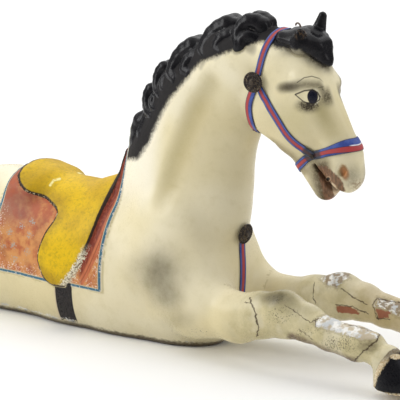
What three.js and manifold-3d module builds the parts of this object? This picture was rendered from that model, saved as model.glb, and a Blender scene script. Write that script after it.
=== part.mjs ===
// A carved and painted carousel horse, stretched out at the gallop and cut flat under the belly.
// The frame is in millimetres: +X is where the horse looks, +Y is its left, +Z is up.
// The figure is laid out in hundredths of its height, from the front of the breast (x) and the ground (z).
// What is fixed to it, such as a ribbon or a rosette, has its own size in millimetres.
import * as THREE from "three";
import { mergeVertices } from "three/addons/utils/BufferGeometryUtils.js";
import Module from "manifold-3d";

// Driving dimensions
const HEIGHT = 600; // ground to the tip of the ear
const FRONT_REACH = 72; // breast to the toe of the front hoof, in hundredths of the height
const BACK_REACH = 156; // breast to the end of the hind hoof, in hundredths of the height
const CLOTH_THICKNESS = 3; // how far the saddle cloth stands proud of the flank
const SADDLE_THICKNESS = 5; // how far the saddle stands proud of its cloth
const FOLD_DEPTH = 3.5; // the long hollow that is carved in each side of the neck
const RIBBON_WIDTH = 15;
const RIBBON_THICKNESS = 1.2;
const NOSE_SPREAD = 9; // how much wider the noseband is spread over the bridge of the nose
const ROSETTE_DIAMETER = 36;
const ROSETTE_HEIGHT = 8;
const TACK_DIAMETER = 9;
const TACK_HEIGHT = 3;
const PIN_DIAMETER = 3;
const PIN_LENGTH = 16;
const SEAT_GAP = 0.4; // air between pieces that touch
const GRID_STEP = 6; // the spacing at which the carved form is sampled
const CARVED_TRIANGLES = 6250; // what is kept of the carved form's triangles

const SHARE = HEIGHT / 100;
const ribbonStep = 8; // from one cross-section of a ribbon to the next
const ribbonGap = 1; // air between a ribbon and the carving
const layer = RIBBON_THICKNESS + SEAT_GAP; // one ribbon on top of another
const liftLength = 26; // how far from its end a ribbon comes down from the one it crosses

// Carved form
// A muscle is a tapered rod between two points. Each end has a depth r across it and a half-width w sideways.
function muscle(from, r0, w0, to, r1, w1, blend) {
  const a = from.map((v) => v * SHARE);
  const b = to.map((v) => v * SHARE);
  const along = b.map((v, i) => v - a[i]);
  return {
    a,
    along,
    length2: Math.max(along[0] ** 2 + along[1] ** 2 + along[2] ** 2, 1e-6),
    r0: r0 * SHARE,
    r1: r1 * SHARE,
    w0: w0 * SHARE,
    w1: w1 * SHARE,
    blend: blend * SHARE,
  };
}

// About how far a point is outside the muscle, negative inside.
function outside(m, x, y, z) {
  const px = x - m.a[0];
  const py = y - m.a[1];
  const pz = z - m.a[2];
  const [dx, dy, dz] = m.along;
  const t = Math.min(1, Math.max(0, (px * dx + py * dy + pz * dz) / m.length2));
  const r = m.r0 + t * (m.r1 - m.r0);
  const w = m.w0 + t * (m.w1 - m.w0);
  const qx = px - t * dx;
  const qy = py - t * dy;
  const qz = pz - t * dz;
  const near = Math.hypot(qx / r, qy / w, qz / r);
  const slope = Math.hypot(qx / (r * r), qy / (w * w), qz / (r * r));
  return slope < 1e-9 ? -Math.min(r, w) : (near * (near - 1)) / slope;
}

function join(a, b, blend) {
  const h = Math.max(blend - Math.abs(a - b), 0) / Math.max(blend, 1e-9);
  return Math.min(a, b) - (h * h * blend) / 4;
}

const carve = (a, b, blend) => -join(-a, b, blend);

// A group of muscles inside a ball, so that a far point can pass it by.
function group(muscles) {
  const box = new THREE.Box3();
  let most = 0;
  for (const m of muscles) {
    const start = new THREE.Vector3(...m.a);
    const grow = Math.max(m.r0, m.r1, m.w0, m.w1) + m.blend;
    box.expandByPoint(start);
    box.expandByPoint(start.clone().add(new THREE.Vector3(...m.along)));
    most = Math.max(most, grow);
  }
  const ball = box.getBoundingSphere(new THREE.Sphere());
  return { muscles, centre: ball.center, radius: ball.radius + most };
}

function joinGroup(distance, g, x, y, z) {
  const away = Math.hypot(x - g.centre.x, y - g.centre.y, z - g.centre.z);
  if (away - g.radius > distance) return distance;
  let d = distance;
  for (const m of g.muscles) d = join(d, outside(m, x, y, z), m.blend);
  return d;
}

const trunk = group([
  muscle([-23.5, 0, 17.4], 22.4, 15, [-40, 0, 17.2], 22.3, 15.6, 0.1),
  muscle([-40, 0, 17.2], 22.3, 15.6, [-57, 0, 16.9], 21.2, 16, 3),
  muscle([-57, 0, 16.9], 21.2, 16, [-84, 0, 18.4], 21, 15.6, 3),
  muscle([-84, 0, 18.4], 21, 15.6, [-95, 0, 21], 16.5, 13, 3),
  muscle([-36, 0, 41], 5, 5, [-46, 0, 36.5], 4, 5, 5),
]);
const cantle = group([muscle([-74.5, 0, 36.2], 4.8, 11, [-70.5, 0, 35.8], 4.2, 11, 4)]);
const neck = group([
  muscle([-20.5, 0, 28], 19.4, 13.2, [-19.4, 0, 46.5], 19.8, 9.8, 5),
  muscle([-19.4, 0, 46.5], 19.8, 9.8, [-13.2, 0, 65.1], 17, 8.2, 5),
  muscle([-13.2, 0, 65.1], 17, 8.2, [-2.3, 0, 79], 13.4, 7.4, 4),
  muscle([-2.3, 0, 79], 13.4, 7.4, [10.9, 0, 84.5], 9.4, 6.6, 4),
]);
const head = group([
  muscle([16.5, 0, 84], 9.4, 7.2, [21.5, 0, 82], 8.9, 7, 3),
  muscle([25.6, 0, 77.5], 6.8, 5.4, [34.5, 0, 62.5], 6.4, 4.3, 4),
  muscle([35.5, 0, 60], 6.2, 4.6, [36.3, 0, 57], 6.2, 4.8, 3),
  muscle([24, 0, 70], 6, 4.2, [31, 0, 60], 5, 3.8, 3),
  muscle([18.6, 0, 66.7], 6, 4.6, [29.5, 0, 51.4], 3.7, 3.3, 3),
  muscle([16.3, 3.4, 73], 11.2, 4.6, [21, 3.6, 69], 9, 4.2, 3),
  muscle([29.4, 3.6, 80.6], 1.9, 1.9, [24.4, 5.4, 82], 2, 1.8, 2),
  muscle([28.8, 3.9, 78], 2.1, 2.3, [27.9, 4.1, 78], 2.1, 2.3, 0.8),
  muscle([33.5, 2.4, 66], 1.5, 1.6, [26, 4.6, 71.5], 1.4, 1.4, 2),
]);
const shoulder = group([
  muscle([-20, 9, 30], 12, 6, [-9, 11, 15], 9, 6, 6),
  muscle([-10, 5, 26], 6, 5.5, [-7, 7, 17], 5.8, 5.5, 4),
]);
// The legs are stretched to their reach. Their places along x are shares of it, from the breast and the hip.
const fore = (share) => FRONT_REACH * share;
const HIP = -92;
const hind = (share) => HIP - (BACK_REACH + HIP) * share;
const foreleg = group([
  muscle([-8, 9.5, 13.4], 9.2, 6.5, [fore(0.11), 11.5, 12.7], 6.5, 5.6, 4),
  muscle([fore(0.11), 11.5, 12.7], 6.5, 5.6, [fore(0.22), 12, 14.9], 6.3, 5.2, 3),
  muscle([fore(0.22), 12, 14.9], 6.3, 5.2, [fore(0.35), 12.4, 16.7], 6.6, 5, 2),
  muscle([fore(0.35), 12.4, 16.7], 6.6, 5, [fore(0.46), 12.4, 15.6], 5.2, 4.3, 1.5),
  muscle([fore(0.46), 12.4, 15.6], 5.2, 4.3, [fore(0.57), 12.4, 13.6], 4.4, 3.8, 1.5),
  muscle([fore(0.57), 12.4, 13.6], 4.4, 3.8, [fore(0.71), 12.4, 12.6], 4.9, 4.3, 1.5),
  muscle([fore(0.71), 12.4, 12.6], 4.9, 4.3, [fore(0.78), 12.4, 12.6], 4.3, 4, 1),
  muscle([fore(0.76), 12.4, 12.3], 3.4, 3.4, [fore(0.85), 12.4, 9.8], 4, 3.8, 1),
]);
const hindleg = group([
  muscle([HIP, 9, 22], 13, 6.5, [hind(0.25), 11.5, 16], 8, 5.5, 5),
  muscle([hind(0.25), 11.5, 16], 8, 5.5, [hind(0.44), 12, 13.5], 5.4, 4.4, 3),
  muscle([hind(0.44), 12, 13.5], 5.4, 4.4, [hind(0.62), 12, 9], 4.2, 3.8, 1.5),
  muscle([hind(0.62), 12, 9], 4.2, 3.8, [hind(0.7), 12, 7.6], 4.6, 4.2, 1.5),
  muscle([hind(0.7), 12, 7.6], 4, 3.6, [hind(0.8), 12, 6.2], 3.6, 3.4, 1.5),
]);
const LEFT_LIFT = 1.9; // the left foreleg is stretched out this much higher than the right

// A hoof is a muscle cut off along its sole. The sole runs from heel to toe with the hoof on its left.
const hoof = (rod, from, to) => {
  const size = Math.hypot(to[0] - from[0], to[1] - from[1]);
  return {
    rod,
    x: from[0] * SHARE,
    z: from[1] * SHARE,
    nx: (to[1] - from[1]) / size,
    nz: -(to[0] - from[0]) / size,
  };
};
const forehoof = hoof(
  muscle([fore(0.86), 12.4, 9.6], 4.5, 4.3, [fore(0.9), 12.4, 3.6], 7.1, 5.7, 0.5),
  [fore(0.78), 2.8],
  [fore(1.01), 1.2],
);
const hindhoof = hoof(
  muscle([hind(0.8), 12, 6.6], 3.8, 3.8, [hind(0.95), 12, 5], 6, 5.4, 0.5),
  [hind(0.92), 11.6],
  [hind(1), 0],
);
const outsideHoof = (h, x, y, z) =>
  Math.max(outside(h.rod, x, y, z), (x - h.x) * h.nx + (z - h.z) * h.nz);

const forelock = group([
  muscle([15, 0, 90.4], 3.2, 4.6, [22, 1.4, 92], 3.8, 3.4, 1.5),
  muscle([22, 1.4, 92], 3.8, 3.4, [27.2, 1.2, 90.4], 3.3, 2.8, 1.2),
  muscle([27.2, 1.2, 90.4], 3.3, 2.8, [30.8, 0, 85.6], 1.1, 1.2, 1.2),
  muscle([17, 3.6, 90.2], 2.8, 2.6, [25, 3.4, 89.8], 3, 2.6, 1.6),
  muscle([25, 3.4, 89.8], 3, 2.6, [29.8, 1.5, 86], 1.2, 1.2, 1.6),
]);
const ear = muscle([22, 5.4, 92.6], 2.6, 1.9, [23.4, 5.6, 98.5], 1.2, 1, 1.2);
const brokenEar = muscle([23.4, 4.8, 91.4], 2.2, 2, [24.2, 4.9, 95], 1.6, 1.4, 1);

// Mane
const curve = (points) => new THREE.CatmullRomCurve3(points.map((p) => new THREE.Vector3(...p)));
const CREST = curve([
  [10.2, 0, 92],
  [3, 0, 94.6],
  [-5, 0, 91.8],
  [-12, 0, 87.4],
  [-18.6, 0, 82.8],
  [-25, 0, 77.6],
  [-30, 0, 71],
  [-33.4, 0, 64],
  [-36, 0, 57],
  [-37.6, 0, 49],
]);
// A place below the crest, t along it and out to the side.
function underCrest(t, depth, out) {
  const near = THREE.MathUtils.clamp(t, 0, 1);
  const p = CREST.getPoint(near);
  const along = CREST.getTangent(near);
  return [p.x - along.z * depth, out, p.z + along.x * depth];
}

// The mane swells in lumps. These are the dips between them, from 0 at the poll to 1 at the withers.
const DIPS = [0, 0.155, 0.355, 0.555, 0.665, 0.775, 1];
// On each lump a thick lock runs back over the crest, turns down and curls to a point.
// A thinner one hangs in front of it.
// Each row: how far along the lump, how deep below the crest, how far out sideways, and its radius.
const THICK_LOCK = [
  [0.04, 1.8, 1, 2.1],
  [0.3, -0.4, 1.3, 3.1],
  [0.66, 0.2, 2, 3],
  [0.92, 2.8, 3.8, 2.5],
  [0.84, 5, 5.3, 1.9],
  [0.98, 7, 6.2, 1],
];
const THIN_LOCK = [
  [0.1, 2.4, 2.8, 2.1],
  [0.38, 2.8, 4.2, 2.2],
  [0.52, 4.4, 5.2, 1.9],
  [0.42, 6, 5.9, 1.5],
  [0.56, 7.4, 6.3, 0.9],
];

function lock(shape, from, to) {
  const size = THREE.MathUtils.clamp((to - from) / 0.18, 0.65, 1.05);
  const line = curve(
    shape.map(([far, depth, out, r]) => underCrest(from + far * (to - from), depth - r * (1 - size), out)),
  );
  const steps = 2 * (shape.length - 1);
  const at = (k) => line.getPoint(k / steps).toArray();
  const radius = (k) => (size * (shape[Math.floor(k / 2)][3] + shape[Math.ceil(k / 2)][3])) / 2;
  const rod = (_, k) =>
    muscle(at(k), radius(k), 0.9 * radius(k), at(k + 1), radius(k + 1), 0.9 * radius(k + 1), 0.3);
  return group(Array.from({ length: steps }, rod));
}

// The hair under the locks, a row of rods along the crest
function ridge(depth, out, r, w) {
  const count = 10;
  const at = (k) => underCrest(k / count, depth, out);
  const rod = (_, k) => muscle(at(k), r, w, at(k + 1), r, w, 1);
  return group(Array.from({ length: count }, rod));
}
const mane = [ridge(3.4, 0, 3, 3.8), ridge(5, 3, 2.6, 2.8)];
DIPS.slice(1).forEach((to, i) => mane.push(lock(THIN_LOCK, DIPS[i], to), lock(THICK_LOCK, DIPS[i], to)));

// Tail
const TAIL = curve([
  [-106, 0, 33],
  [-113, 0, 30],
  [-119, 0, 20],
  [-127, 0, 10],
  [-140, 0, 5],
]);
const TAIL_STEPS = 7;
function tailRod(i) {
  const at = (k) => TAIL.getPoint(k / TAIL_STEPS);
  const size = (k) => 1.2 + 3.4 * Math.sin(Math.PI * Math.min(1, k / TAIL_STEPS + 0.12)) ** 0.8;
  const a = at(i);
  const b = at(i + 1);
  return muscle([a.x, a.y, a.z], size(i), size(i), [b.x, b.y, b.z], size(i + 1), size(i + 1), 1);
}
const tail = group(Array.from({ length: TAIL_STEPS }, (_, i) => tailRod(i)));

// Harness that is carved in the horse itself
const CLOTH = { front: -38.2, back: -78.6, bottom: 13.2 };
const outline = (points) => curve(points.map(([x, z]) => [x, 0, z])).getPoints(points.length * 4);
const SADDLE = [
  ...outline([
    [-79, 52],
    [-76.2, 41.4],
    [-70.5, 36.8],
    [-62, 34.6],
    [-57.4, 32.4],
    [-59.6, 26.5],
    [-61, 20],
    [-58.6, 14.6],
    [-56, 12.4],
  ]),
  ...outline([
    [-51.6, 12.6],
    [-46, 20],
    [-42.6, 29],
    [-41.7, 40],
    [-40, 52],
  ]),
].map((p) => [p.x, p.z]);

// How far inside a closed outline a point is, seen from the side; negative outside.
function insideOutline(points, x, z) {
  let nearest = 1e9;
  let inside = false;
  points.forEach(([x1, z1], i) => {
    const [x0, z0] = points[(i + points.length - 1) % points.length];
    const [dx, dz] = [x1 - x0, z1 - z0];
    const t = Math.min(1, Math.max(0, ((x - x0) * dx + (z - z0) * dz) / (dx * dx + dz * dz)));
    nearest = Math.min(nearest, Math.hypot(x - x0 - t * dx, z - z0 - t * dz));
    if (z0 > z !== z1 > z && x < x0 + (dx * (z - z0)) / dz) inside = !inside;
  });
  return inside ? nearest : -nearest;
}
const insideCloth = (x, z) => Math.min(CLOTH.front - x, x - CLOTH.back, z - CLOTH.bottom);
const step = (v, soft) => THREE.MathUtils.smoothstep(v, -soft, soft);

// The hollow along the neck, seen from the side
const FOLD = [
  [-5, 77],
  [-11, 67],
  [-16, 54],
  [-19, 42],
];
const FOLD_REACH = 5;
function awayFromFold(x, z) {
  let nearest = FOLD_REACH;
  for (let i = 1; i < FOLD.length; i++) {
    const [[x0, z0], [x1, z1]] = [FOLD[i - 1], FOLD[i]];
    const along = ((x - x0) * (x1 - x0) + (z - z0) * (z1 - z0)) / ((x1 - x0) ** 2 + (z1 - z0) ** 2);
    const t = THREE.MathUtils.clamp(along, 0, 1);
    nearest = Math.min(nearest, Math.hypot(x - x0 - t * (x1 - x0), z - z0 - t * (z1 - z0)));
  }
  return nearest / FOLD_REACH;
}

const mouth = group([
  muscle([28.6, 0, 58.2], 0.5, 9, [33, 0, 53.4], 1.1, 9, 0.5),
  muscle([33, 0, 53.4], 1.1, 9, [38, 0, 48.6], 1.9, 9, 0.5),
]);
const nostril = muscle([39.2, 4.4, 58.8], 1.3, 1.2, [38.4, 4.2, 57.6], 1.2, 1.2, 0.8);

// The whole carved form's distance at a point, in millimetres.
function horse(x, yRaw, z) {
  const y = Math.abs(yRaw);
  const px = x / SHARE;
  const pz = z / SHARE;
  let d = joinGroup(1e9, trunk, x, y, z);
  d = joinGroup(d, neck, x, y, z);
  d = joinGroup(d, shoulder, x, y, z);
  if (px < 0 && px > -25 && pz > 36 && pz < 82) {
    d += FOLD_DEPTH * (1 - THREE.MathUtils.smoothstep(awayFromFold(px, pz), 0, 1));
  }
  if (px < -36 && px > -82 && pz > 10) {
    d = joinGroup(d, cantle, x, y, z);
    d -= CLOTH_THICKNESS * step(insideCloth(px, pz), 0.35);
    d -= SADDLE_THICKNESS * step(insideOutline(SADDLE, px, pz), 0.45);
  }
  d = joinGroup(d, hindleg, x, y, z);
  d = joinGroup(d, head, x, y, z);
  const lift = yRaw > 0 ? LEFT_LIFT * SHARE * THREE.MathUtils.smoothstep(px, fore(0.25), fore(0.65)) : 0;
  d = joinGroup(d, foreleg, x, y, z - lift);
  d = join(d, outsideHoof(forehoof, x, y, z - lift), forehoof.rod.blend);
  d = join(d, outsideHoof(hindhoof, x, y, z), hindhoof.rod.blend);
  for (const m of mouth.muscles) d = carve(d, outside(m, x, y, z), m.blend);
  d = carve(d, outside(nostril, x, y, z), nostril.blend);
  d = joinGroup(d, forelock, x, y, z);
  for (const g of mane) d = joinGroup(d, g, x, y, z);
  d = joinGroup(d, tail, x, y, z);
  const earHere = yRaw > 0 ? ear : brokenEar;
  return join(d, outside(earHere, x, y, z), earHere.blend);
}

// Meshing
// The zero surface of a field as a closed mesh: each grid cube is cut into six tetrahedra.
const CORNERS = [0, 1, 2, 3, 4, 5, 6, 7].map((i) => [i & 1, (i >> 1) & 1, (i >> 2) & 1]);
const TETRAHEDRA = [
  [0, 1, 3, 7],
  [0, 3, 2, 7],
  [0, 2, 6, 7],
  [0, 6, 4, 7],
  [0, 4, 5, 7],
  [0, 5, 1, 7],
];

// The field at every grid point. A block of 6 by 6 by 6 points that is far from the surface gets one value.
function sample(field, low, counts, cell) {
  const block = 6;
  const [nx, ny, nz] = counts;
  const values = new Float32Array(nx * ny * nz).fill(1e3);
  const reach = block * cell * 0.5 * Math.sqrt(3) * 1.6 + cell;
  for (let bz = 0; bz < nz; bz += block)
    for (let by = 0; by < ny; by += block)
      for (let bx = 0; bx < nx; bx += block) {
        const middle = [bx, by, bz].map((v, i) => low[i] + (v + (block - 1) / 2) * cell);
        const there = field(...middle);
        const far = Math.abs(there) > reach;
        for (let k = bz; k < Math.min(bz + block, nz); k++)
          for (let j = by; j < Math.min(by + block, ny); j++)
            for (let i = bx; i < Math.min(bx + block, nx); i++) {
              const value = far
                ? there
                : field(low[0] + i * cell, low[1] + j * cell, low[2] + k * cell);
              values[i + nx * (j + ny * k)] = value || 1e-6;
            }
      }
  return values;
}

function skin(field, low, high, cell) {
  const counts = low.map((v, i) => Math.ceil((high[i] - v) / cell) + 1);
  const [nx, ny, nz] = counts;
  const values = sample(field, low, counts, cell);
  const points = [];
  const faces = [];
  const made = new Map();
  const place = (n) => [n % nx, Math.floor(n / nx) % ny, Math.floor(n / (nx * ny))];
  const crossing = (m, n) => {
    const [a, b] = m < n ? [m, n] : [n, m];
    const key = a * counts[0] * counts[1] * counts[2] + b;
    if (made.has(key)) return made.get(key);
    const t = Math.min(0.95, Math.max(0.05, values[a] / (values[a] - values[b])));
    const pa = place(a);
    const pb = place(b);
    points.push(pa.map((v, i) => low[i] + cell * (v + t * (pb[i] - v))));
    made.set(key, points.length - 1);
    return points.length - 1;
  };
  const offset = CORNERS.map(([i, j, k]) => i + nx * (j + ny * k));
  for (let k = 0; k < nz - 1; k++)
    for (let j = 0; j < ny - 1; j++)
      for (let i = 0; i < nx - 1; i++) {
        const base = i + nx * (j + ny * k);
        let insideCount = 0;
        for (const o of offset) if (values[base + o] < 0) insideCount++;
        if (insideCount === 0 || insideCount === 8) continue;
        for (const tetra of TETRAHEDRA) {
          const ids = tetra.map((c) => base + offset[c]);
          const inner = ids.filter((n) => values[n] < 0);
          const outer = ids.filter((n) => values[n] >= 0);
          if (!inner.length || !outer.length) continue;
          const flat = (list) => list.map(([m, n]) => crossing(m, n));
          let loop;
          if (inner.length === 1) loop = flat(outer.map((n) => [inner[0], n]));
          else if (outer.length === 1) loop = flat(inner.map((n) => [n, outer[0]]));
          else {
            const [a, b] = inner;
            const [c, e] = outer;
            loop = flat([
              [a, c],
              [a, e],
              [b, e],
              [b, c],
            ]);
          }
          faces.push(...fan(loop, inner[0], points, place, low, cell));
        }
      }
  return { points, faces };
}

// Triangles of a loop that face away from a grid point on the inside.
function fan(loop, insidePoint, points, place, low, cell) {
  const inside = new THREE.Vector3(...place(insidePoint).map((v, i) => low[i] + v * cell));
  const [a, b, c] = loop.slice(0, 3).map((n) => new THREE.Vector3(...points[n]));
  const normal = b.clone().sub(a).cross(c.clone().sub(a));
  const order = normal.dot(a.clone().sub(inside)) < 0 ? [...loop].reverse() : loop;
  return order.length === 3
    ? [order]
    : [
        [order[0], order[1], order[2]],
        [order[0], order[2], order[3]],
      ];
}

const SLOPE_STEP = 0.4;
function slopeOf(field, [x, y, z]) {
  return [
    field(x + SLOPE_STEP, y, z) - field(x - SLOPE_STEP, y, z),
    field(x, y + SLOPE_STEP, z) - field(x, y - SLOPE_STEP, z),
    field(x, y, z + SLOPE_STEP) - field(x, y, z - SLOPE_STEP),
  ].map((v) => v / (2 * SLOPE_STEP));
}

// Moves a point onto the surface where the field has the given level.
function settle(field, point, level = 0, turns = 3, most = GRID_STEP / 2) {
  let p = [...point];
  for (let n = 0; n < turns; n++) {
    const g = slopeOf(field, p);
    const size2 = Math.max(g[0] ** 2 + g[1] ** 2 + g[2] ** 2, 0.09);
    const move = THREE.MathUtils.clamp((field(...p) - level) / size2, -most, most);
    p = p.map((v, i) => v - g[i] * move);
  }
  return p;
}

// Keeps the largest of the closed shells and drops the bubbles.
function largest({ points, faces }) {
  const parent = points.map((_, i) => i);
  const root = (v) => {
    while (parent[v] !== v) v = parent[v] = parent[parent[v]];
    return v;
  };
  for (const [a, b, c] of faces) {
    parent[root(a)] = root(b);
    parent[root(b)] = root(c);
  }
  const counts = new Map();
  for (const [a] of faces) counts.set(root(a), (counts.get(root(a)) || 0) + 1);
  const most = [...counts].sort((x, y) => y[1] - x[1])[0][0];
  return { points, faces: faces.filter(([a]) => root(a) === most) };
}

// Joins edges where the surface bends least, with a limit on the bend that rises pass by pass,
// until the wanted number of triangles is left.
function thin({ points, faces }, wanted) {
  const at = Float64Array.from(points.flat());
  const bend = new Float64Array(points.length * 10);
  const around = points.map(() => []);
  faces.forEach((f, i) => f.forEach((v) => around[v].push(i)));
  const spot = [0, 0, 0];
  const across = (f, swap) => {
    const p = f.map((v) => (v === swap ? spot : [at[3 * v], at[3 * v + 1], at[3 * v + 2]]));
    const [a, b, c] = p;
    const ux = b[0] - a[0];
    const uy = b[1] - a[1];
    const uz = b[2] - a[2];
    const wx = c[0] - a[0];
    const wy = c[1] - a[1];
    const wz = c[2] - a[2];
    return [uy * wz - uz * wy, uz * wx - ux * wz, ux * wy - uy * wx];
  };
  for (const f of faces) {
    const n = across(f, -1);
    const size = Math.hypot(n[0], n[1], n[2]) || 1e-12;
    const [a, b, c] = [n[0] / size, n[1] / size, n[2] / size];
    const d = -(a * at[3 * f[0]] + b * at[3 * f[0] + 1] + c * at[3 * f[0] + 2]);
    const part = [a * a, a * b, a * c, a * d, b * b, b * c, b * d, c * c, c * d, d * d];
    for (const v of f) for (let i = 0; i < 10; i++) bend[10 * v + i] += part[i] * size;
  }
  const q = new Float64Array(10);
  // The cost of joining two points, with the best place for the joined point left in spot.
  const cost = (u, v) => {
    for (let i = 0; i < 10; i++) q[i] = bend[10 * u + i] + bend[10 * v + i];
    let length2 = 0;
    for (let i = 0; i < 3; i++) {
      spot[i] = (at[3 * u + i] + at[3 * v + i]) / 2;
      length2 += (at[3 * u + i] - at[3 * v + i]) ** 2;
    }
    const size = q[0] + q[4] + q[7];
    const c0 = q[4] * q[7] - q[5] * q[5];
    const c1 = q[2] * q[5] - q[1] * q[7];
    const c2 = q[1] * q[5] - q[2] * q[4];
    const determinant = q[0] * c0 + q[1] * c1 + q[2] * c2;
    if (determinant > 1e-4 * size ** 3) {
      const c3 = q[0] * q[7] - q[2] * q[2];
      const c4 = q[1] * q[2] - q[0] * q[5];
      const c5 = q[0] * q[4] - q[1] * q[1];
      const x = -(c0 * q[3] + c1 * q[6] + c2 * q[8]) / determinant;
      const y = -(c1 * q[3] + c3 * q[6] + c4 * q[8]) / determinant;
      const z = -(c2 * q[3] + c4 * q[6] + c5 * q[8]) / determinant;
      if ((x - spot[0]) ** 2 + (y - spot[1]) ** 2 + (z - spot[2]) ** 2 < length2) {
        spot[0] = x;
        spot[1] = y;
        spot[2] = z;
      }
    }
    const [x, y, z] = spot;
    const bent =
      x * (q[0] * x + 2 * (q[1] * y + q[2] * z + q[3])) +
      y * (q[4] * y + 2 * (q[5] * z + q[6])) +
      z * (q[7] * z + 2 * q[8]) +
      q[9];
    return Math.max(0, bent) + 1e-3 * length2 ** 1.5;
  };
  const turned = (end, other) =>
    around[end].some((i) => {
      const f = faces[i];
      if (f.includes(other)) return false;
      const a = across(f, -1);
      const b = across(f, end);
      const dot = a[0] * b[0] + a[1] * b[1] + a[2] * b[2];
      return dot < 0.3 * Math.hypot(a[0], a[1], a[2]) * Math.hypot(b[0], b[1], b[2]);
    });
  const near = (v) => {
    const found = new Set();
    for (const i of around[v]) for (const n of faces[i]) if (n !== v) found.add(n);
    return found;
  };
  const moved = new Int32Array(points.length).fill(-1);
  let left = faces.length;
  for (let pass = 0, limit = 0.5; left > wanted && pass < 60; pass++, limit *= 1.45) {
    for (let i = 0; i < faces.length && left > wanted; i++) {
      for (let side = 0; side < 3 && faces[i]; side++) {
        const u = faces[i][side];
        const v = faces[i][(side + 1) % 3];
        if (moved[u] === pass || moved[v] === pass || cost(u, v) > limit) continue;
        const ring = near(u);
        let shared = 0;
        for (const n of near(v)) if (ring.has(n)) shared++;
        if (shared !== 2 || turned(u, v) || turned(v, u)) continue;
        for (const k of around[v]) {
          const f = faces[k];
          if (f.includes(u)) {
            for (const n of f) if (n !== v) around[n] = around[n].filter((m) => m !== k);
            faces[k] = null;
            left--;
          } else {
            f[f.indexOf(v)] = u;
            around[u].push(k);
          }
        }
        around[v] = [];
        moved[u] = pass;
        for (let k = 0; k < 3; k++) at[3 * u + k] = spot[k];
        for (let k = 0; k < 10; k++) bend[10 * u + k] += bend[10 * v + k];
      }
    }
  }
  const kept = new Map();
  const spots = [];
  const number = (v) => {
    if (!kept.has(v)) {
      kept.set(v, spots.length);
      spots.push([at[3 * v], at[3 * v + 1], at[3 * v + 2]]);
    }
    return kept.get(v);
  };
  return { faces: faces.filter(Boolean).map((f) => f.map(number)), points: spots };
}

function geometryOf({ points, faces }) {
  const geometry = new THREE.BufferGeometry();
  geometry.setAttribute("position", new THREE.Float32BufferAttribute(points.flat(), 3));
  geometry.setIndex(faces.flat());
  return geometry;
}

// Solids
const wasm = await Module();
wasm.setup();

function solidOf(geometry) {
  const bare = geometry.clone();
  bare.deleteAttribute("normal");
  bare.deleteAttribute("uv");
  const merged = mergeVertices(bare, 1e-4);
  return new wasm.Manifold(
    new wasm.Mesh({
      numProp: 3,
      vertProperties: merged.attributes.position.array,
      triVerts: new Uint32Array(merged.index.array),
    }),
  );
}

function geometryOfSolid(solid) {
  const mesh = solid.getMesh();
  const geometry = new THREE.BufferGeometry();
  geometry.setAttribute("position", new THREE.BufferAttribute(mesh.vertProperties, mesh.numProp));
  geometry.setIndex(new THREE.BufferAttribute(mesh.triVerts, 1));
  return geometry;
}

function carvedHorse() {
  const low = [-(BACK_REACH + 4) * SHARE, -20 * SHARE, -2 * GRID_STEP];
  const high = [(FRONT_REACH + 4) * SHARE, 20 * SHARE, HEIGHT + 3 * GRID_STEP];
  const rough = skin((x, y, z) => Math.max(horse(x, y, z), -z - GRID_STEP), low, high, GRID_STEP);
  const mesh = thin(largest(rough), CARVED_TRIANGLES);
  mesh.points = mesh.points.map((p) => (p[2] < 0 ? p : settle(horse, p)));
  const ground = new THREE.BoxGeometry(4 * HEIGHT, 2 * HEIGHT, HEIGHT).translate(0, 0, -HEIGHT / 2);
  return solidOf(geometryOf(mesh)).subtract(solidOf(ground));
}

// A skin over rings of points, each ring going out along one side and back along the other.
function sweep(rings, closed = false) {
  const around = rings[0].length;
  const faces = [];
  const id = (i, j) => (i % rings.length) * around + (j % around);
  const quad = (a, b, c, d) => faces.push([a, b, c], [a, c, d]);
  for (let i = 0; i < rings.length - (closed ? 0 : 1); i++)
    for (let j = 0; j < around; j++) quad(id(i, j), id(i, j + 1), id(i + 1, j + 1), id(i + 1, j));
  for (let j = 0; !closed && j < around / 2 - 1; j++) {
    const last = rings.length - 1;
    const back = around - 1 - j;
    quad(id(0, j), id(0, back), id(0, back - 1), id(0, j + 1));
    quad(id(last, j), id(last, j + 1), id(last, back - 1), id(last, back));
  }
  const points = rings.flat();
  const solid = solidOf(geometryOf({ points, faces }));
  return solid.volume() > 0 ? solid : solidOf(geometryOf({ points, faces: faces.map(flip) }));
}
const flip = ([a, b, c]) => [a, c, b];

// A ribbon pulled tight over the carved form along a path. Each end can ride up over another ribbon.
// A closed one can be spread wider where it starts. A lean lifts one edge off the form in mid-path.
function ribbon(path, { closed = false, startLift = 0, endLift = 0, spread = 0, lean = 0 } = {}) {
  const scaled = curve(path.map((p) => p.map((v) => v * SHARE)));
  scaled.closed = closed;
  const length = scaled.getLength();
  const count = Math.round(length / ribbonStep);
  const fall = (far) => 1 - THREE.MathUtils.smoothstep(far, 0.6 * liftLength, liftLength);
  const rings = [];
  for (let i = 0; i < count + (closed ? 0 : 1); i++) {
    const t = i / count;
    const centre = settle(horse, scaled.getPointAt(t).toArray(), SEAT_GAP, 6, 20);
    const normal = new THREE.Vector3(...slopeOf(horse, centre)).normalize();
    const side = scaled.getTangentAt(t).cross(normal).normalize();
    const base = ribbonGap + layer * (startLift * fall(t * length) + endLift * fall((1 - t) * length));
    const fromStart = Math.min(t, 1 - t) * length;
    const width =
      RIBBON_WIDTH + spread * (1 - THREE.MathUtils.smoothstep(fromStart, 0.4 * liftLength, 2.6 * liftLength));
    const across = (level, k) => {
      const p = side.clone().multiplyScalar((k / 2) * width);
      const raised = level + (lean * (k + 1) * Math.sin(Math.PI * t) ** 2) / 2;
      return settle(horse, p.add(new THREE.Vector3(...centre)).toArray(), raised, 4, 8);
    };
    rings.push([
      ...[-1, 0, 1].map((k) => across(base, k)),
      ...[1, 0, -1].map((k) => across(base + RIBBON_THICKNESS, k)),
    ]);
  }
  return sweep(rings, closed);
}

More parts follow.
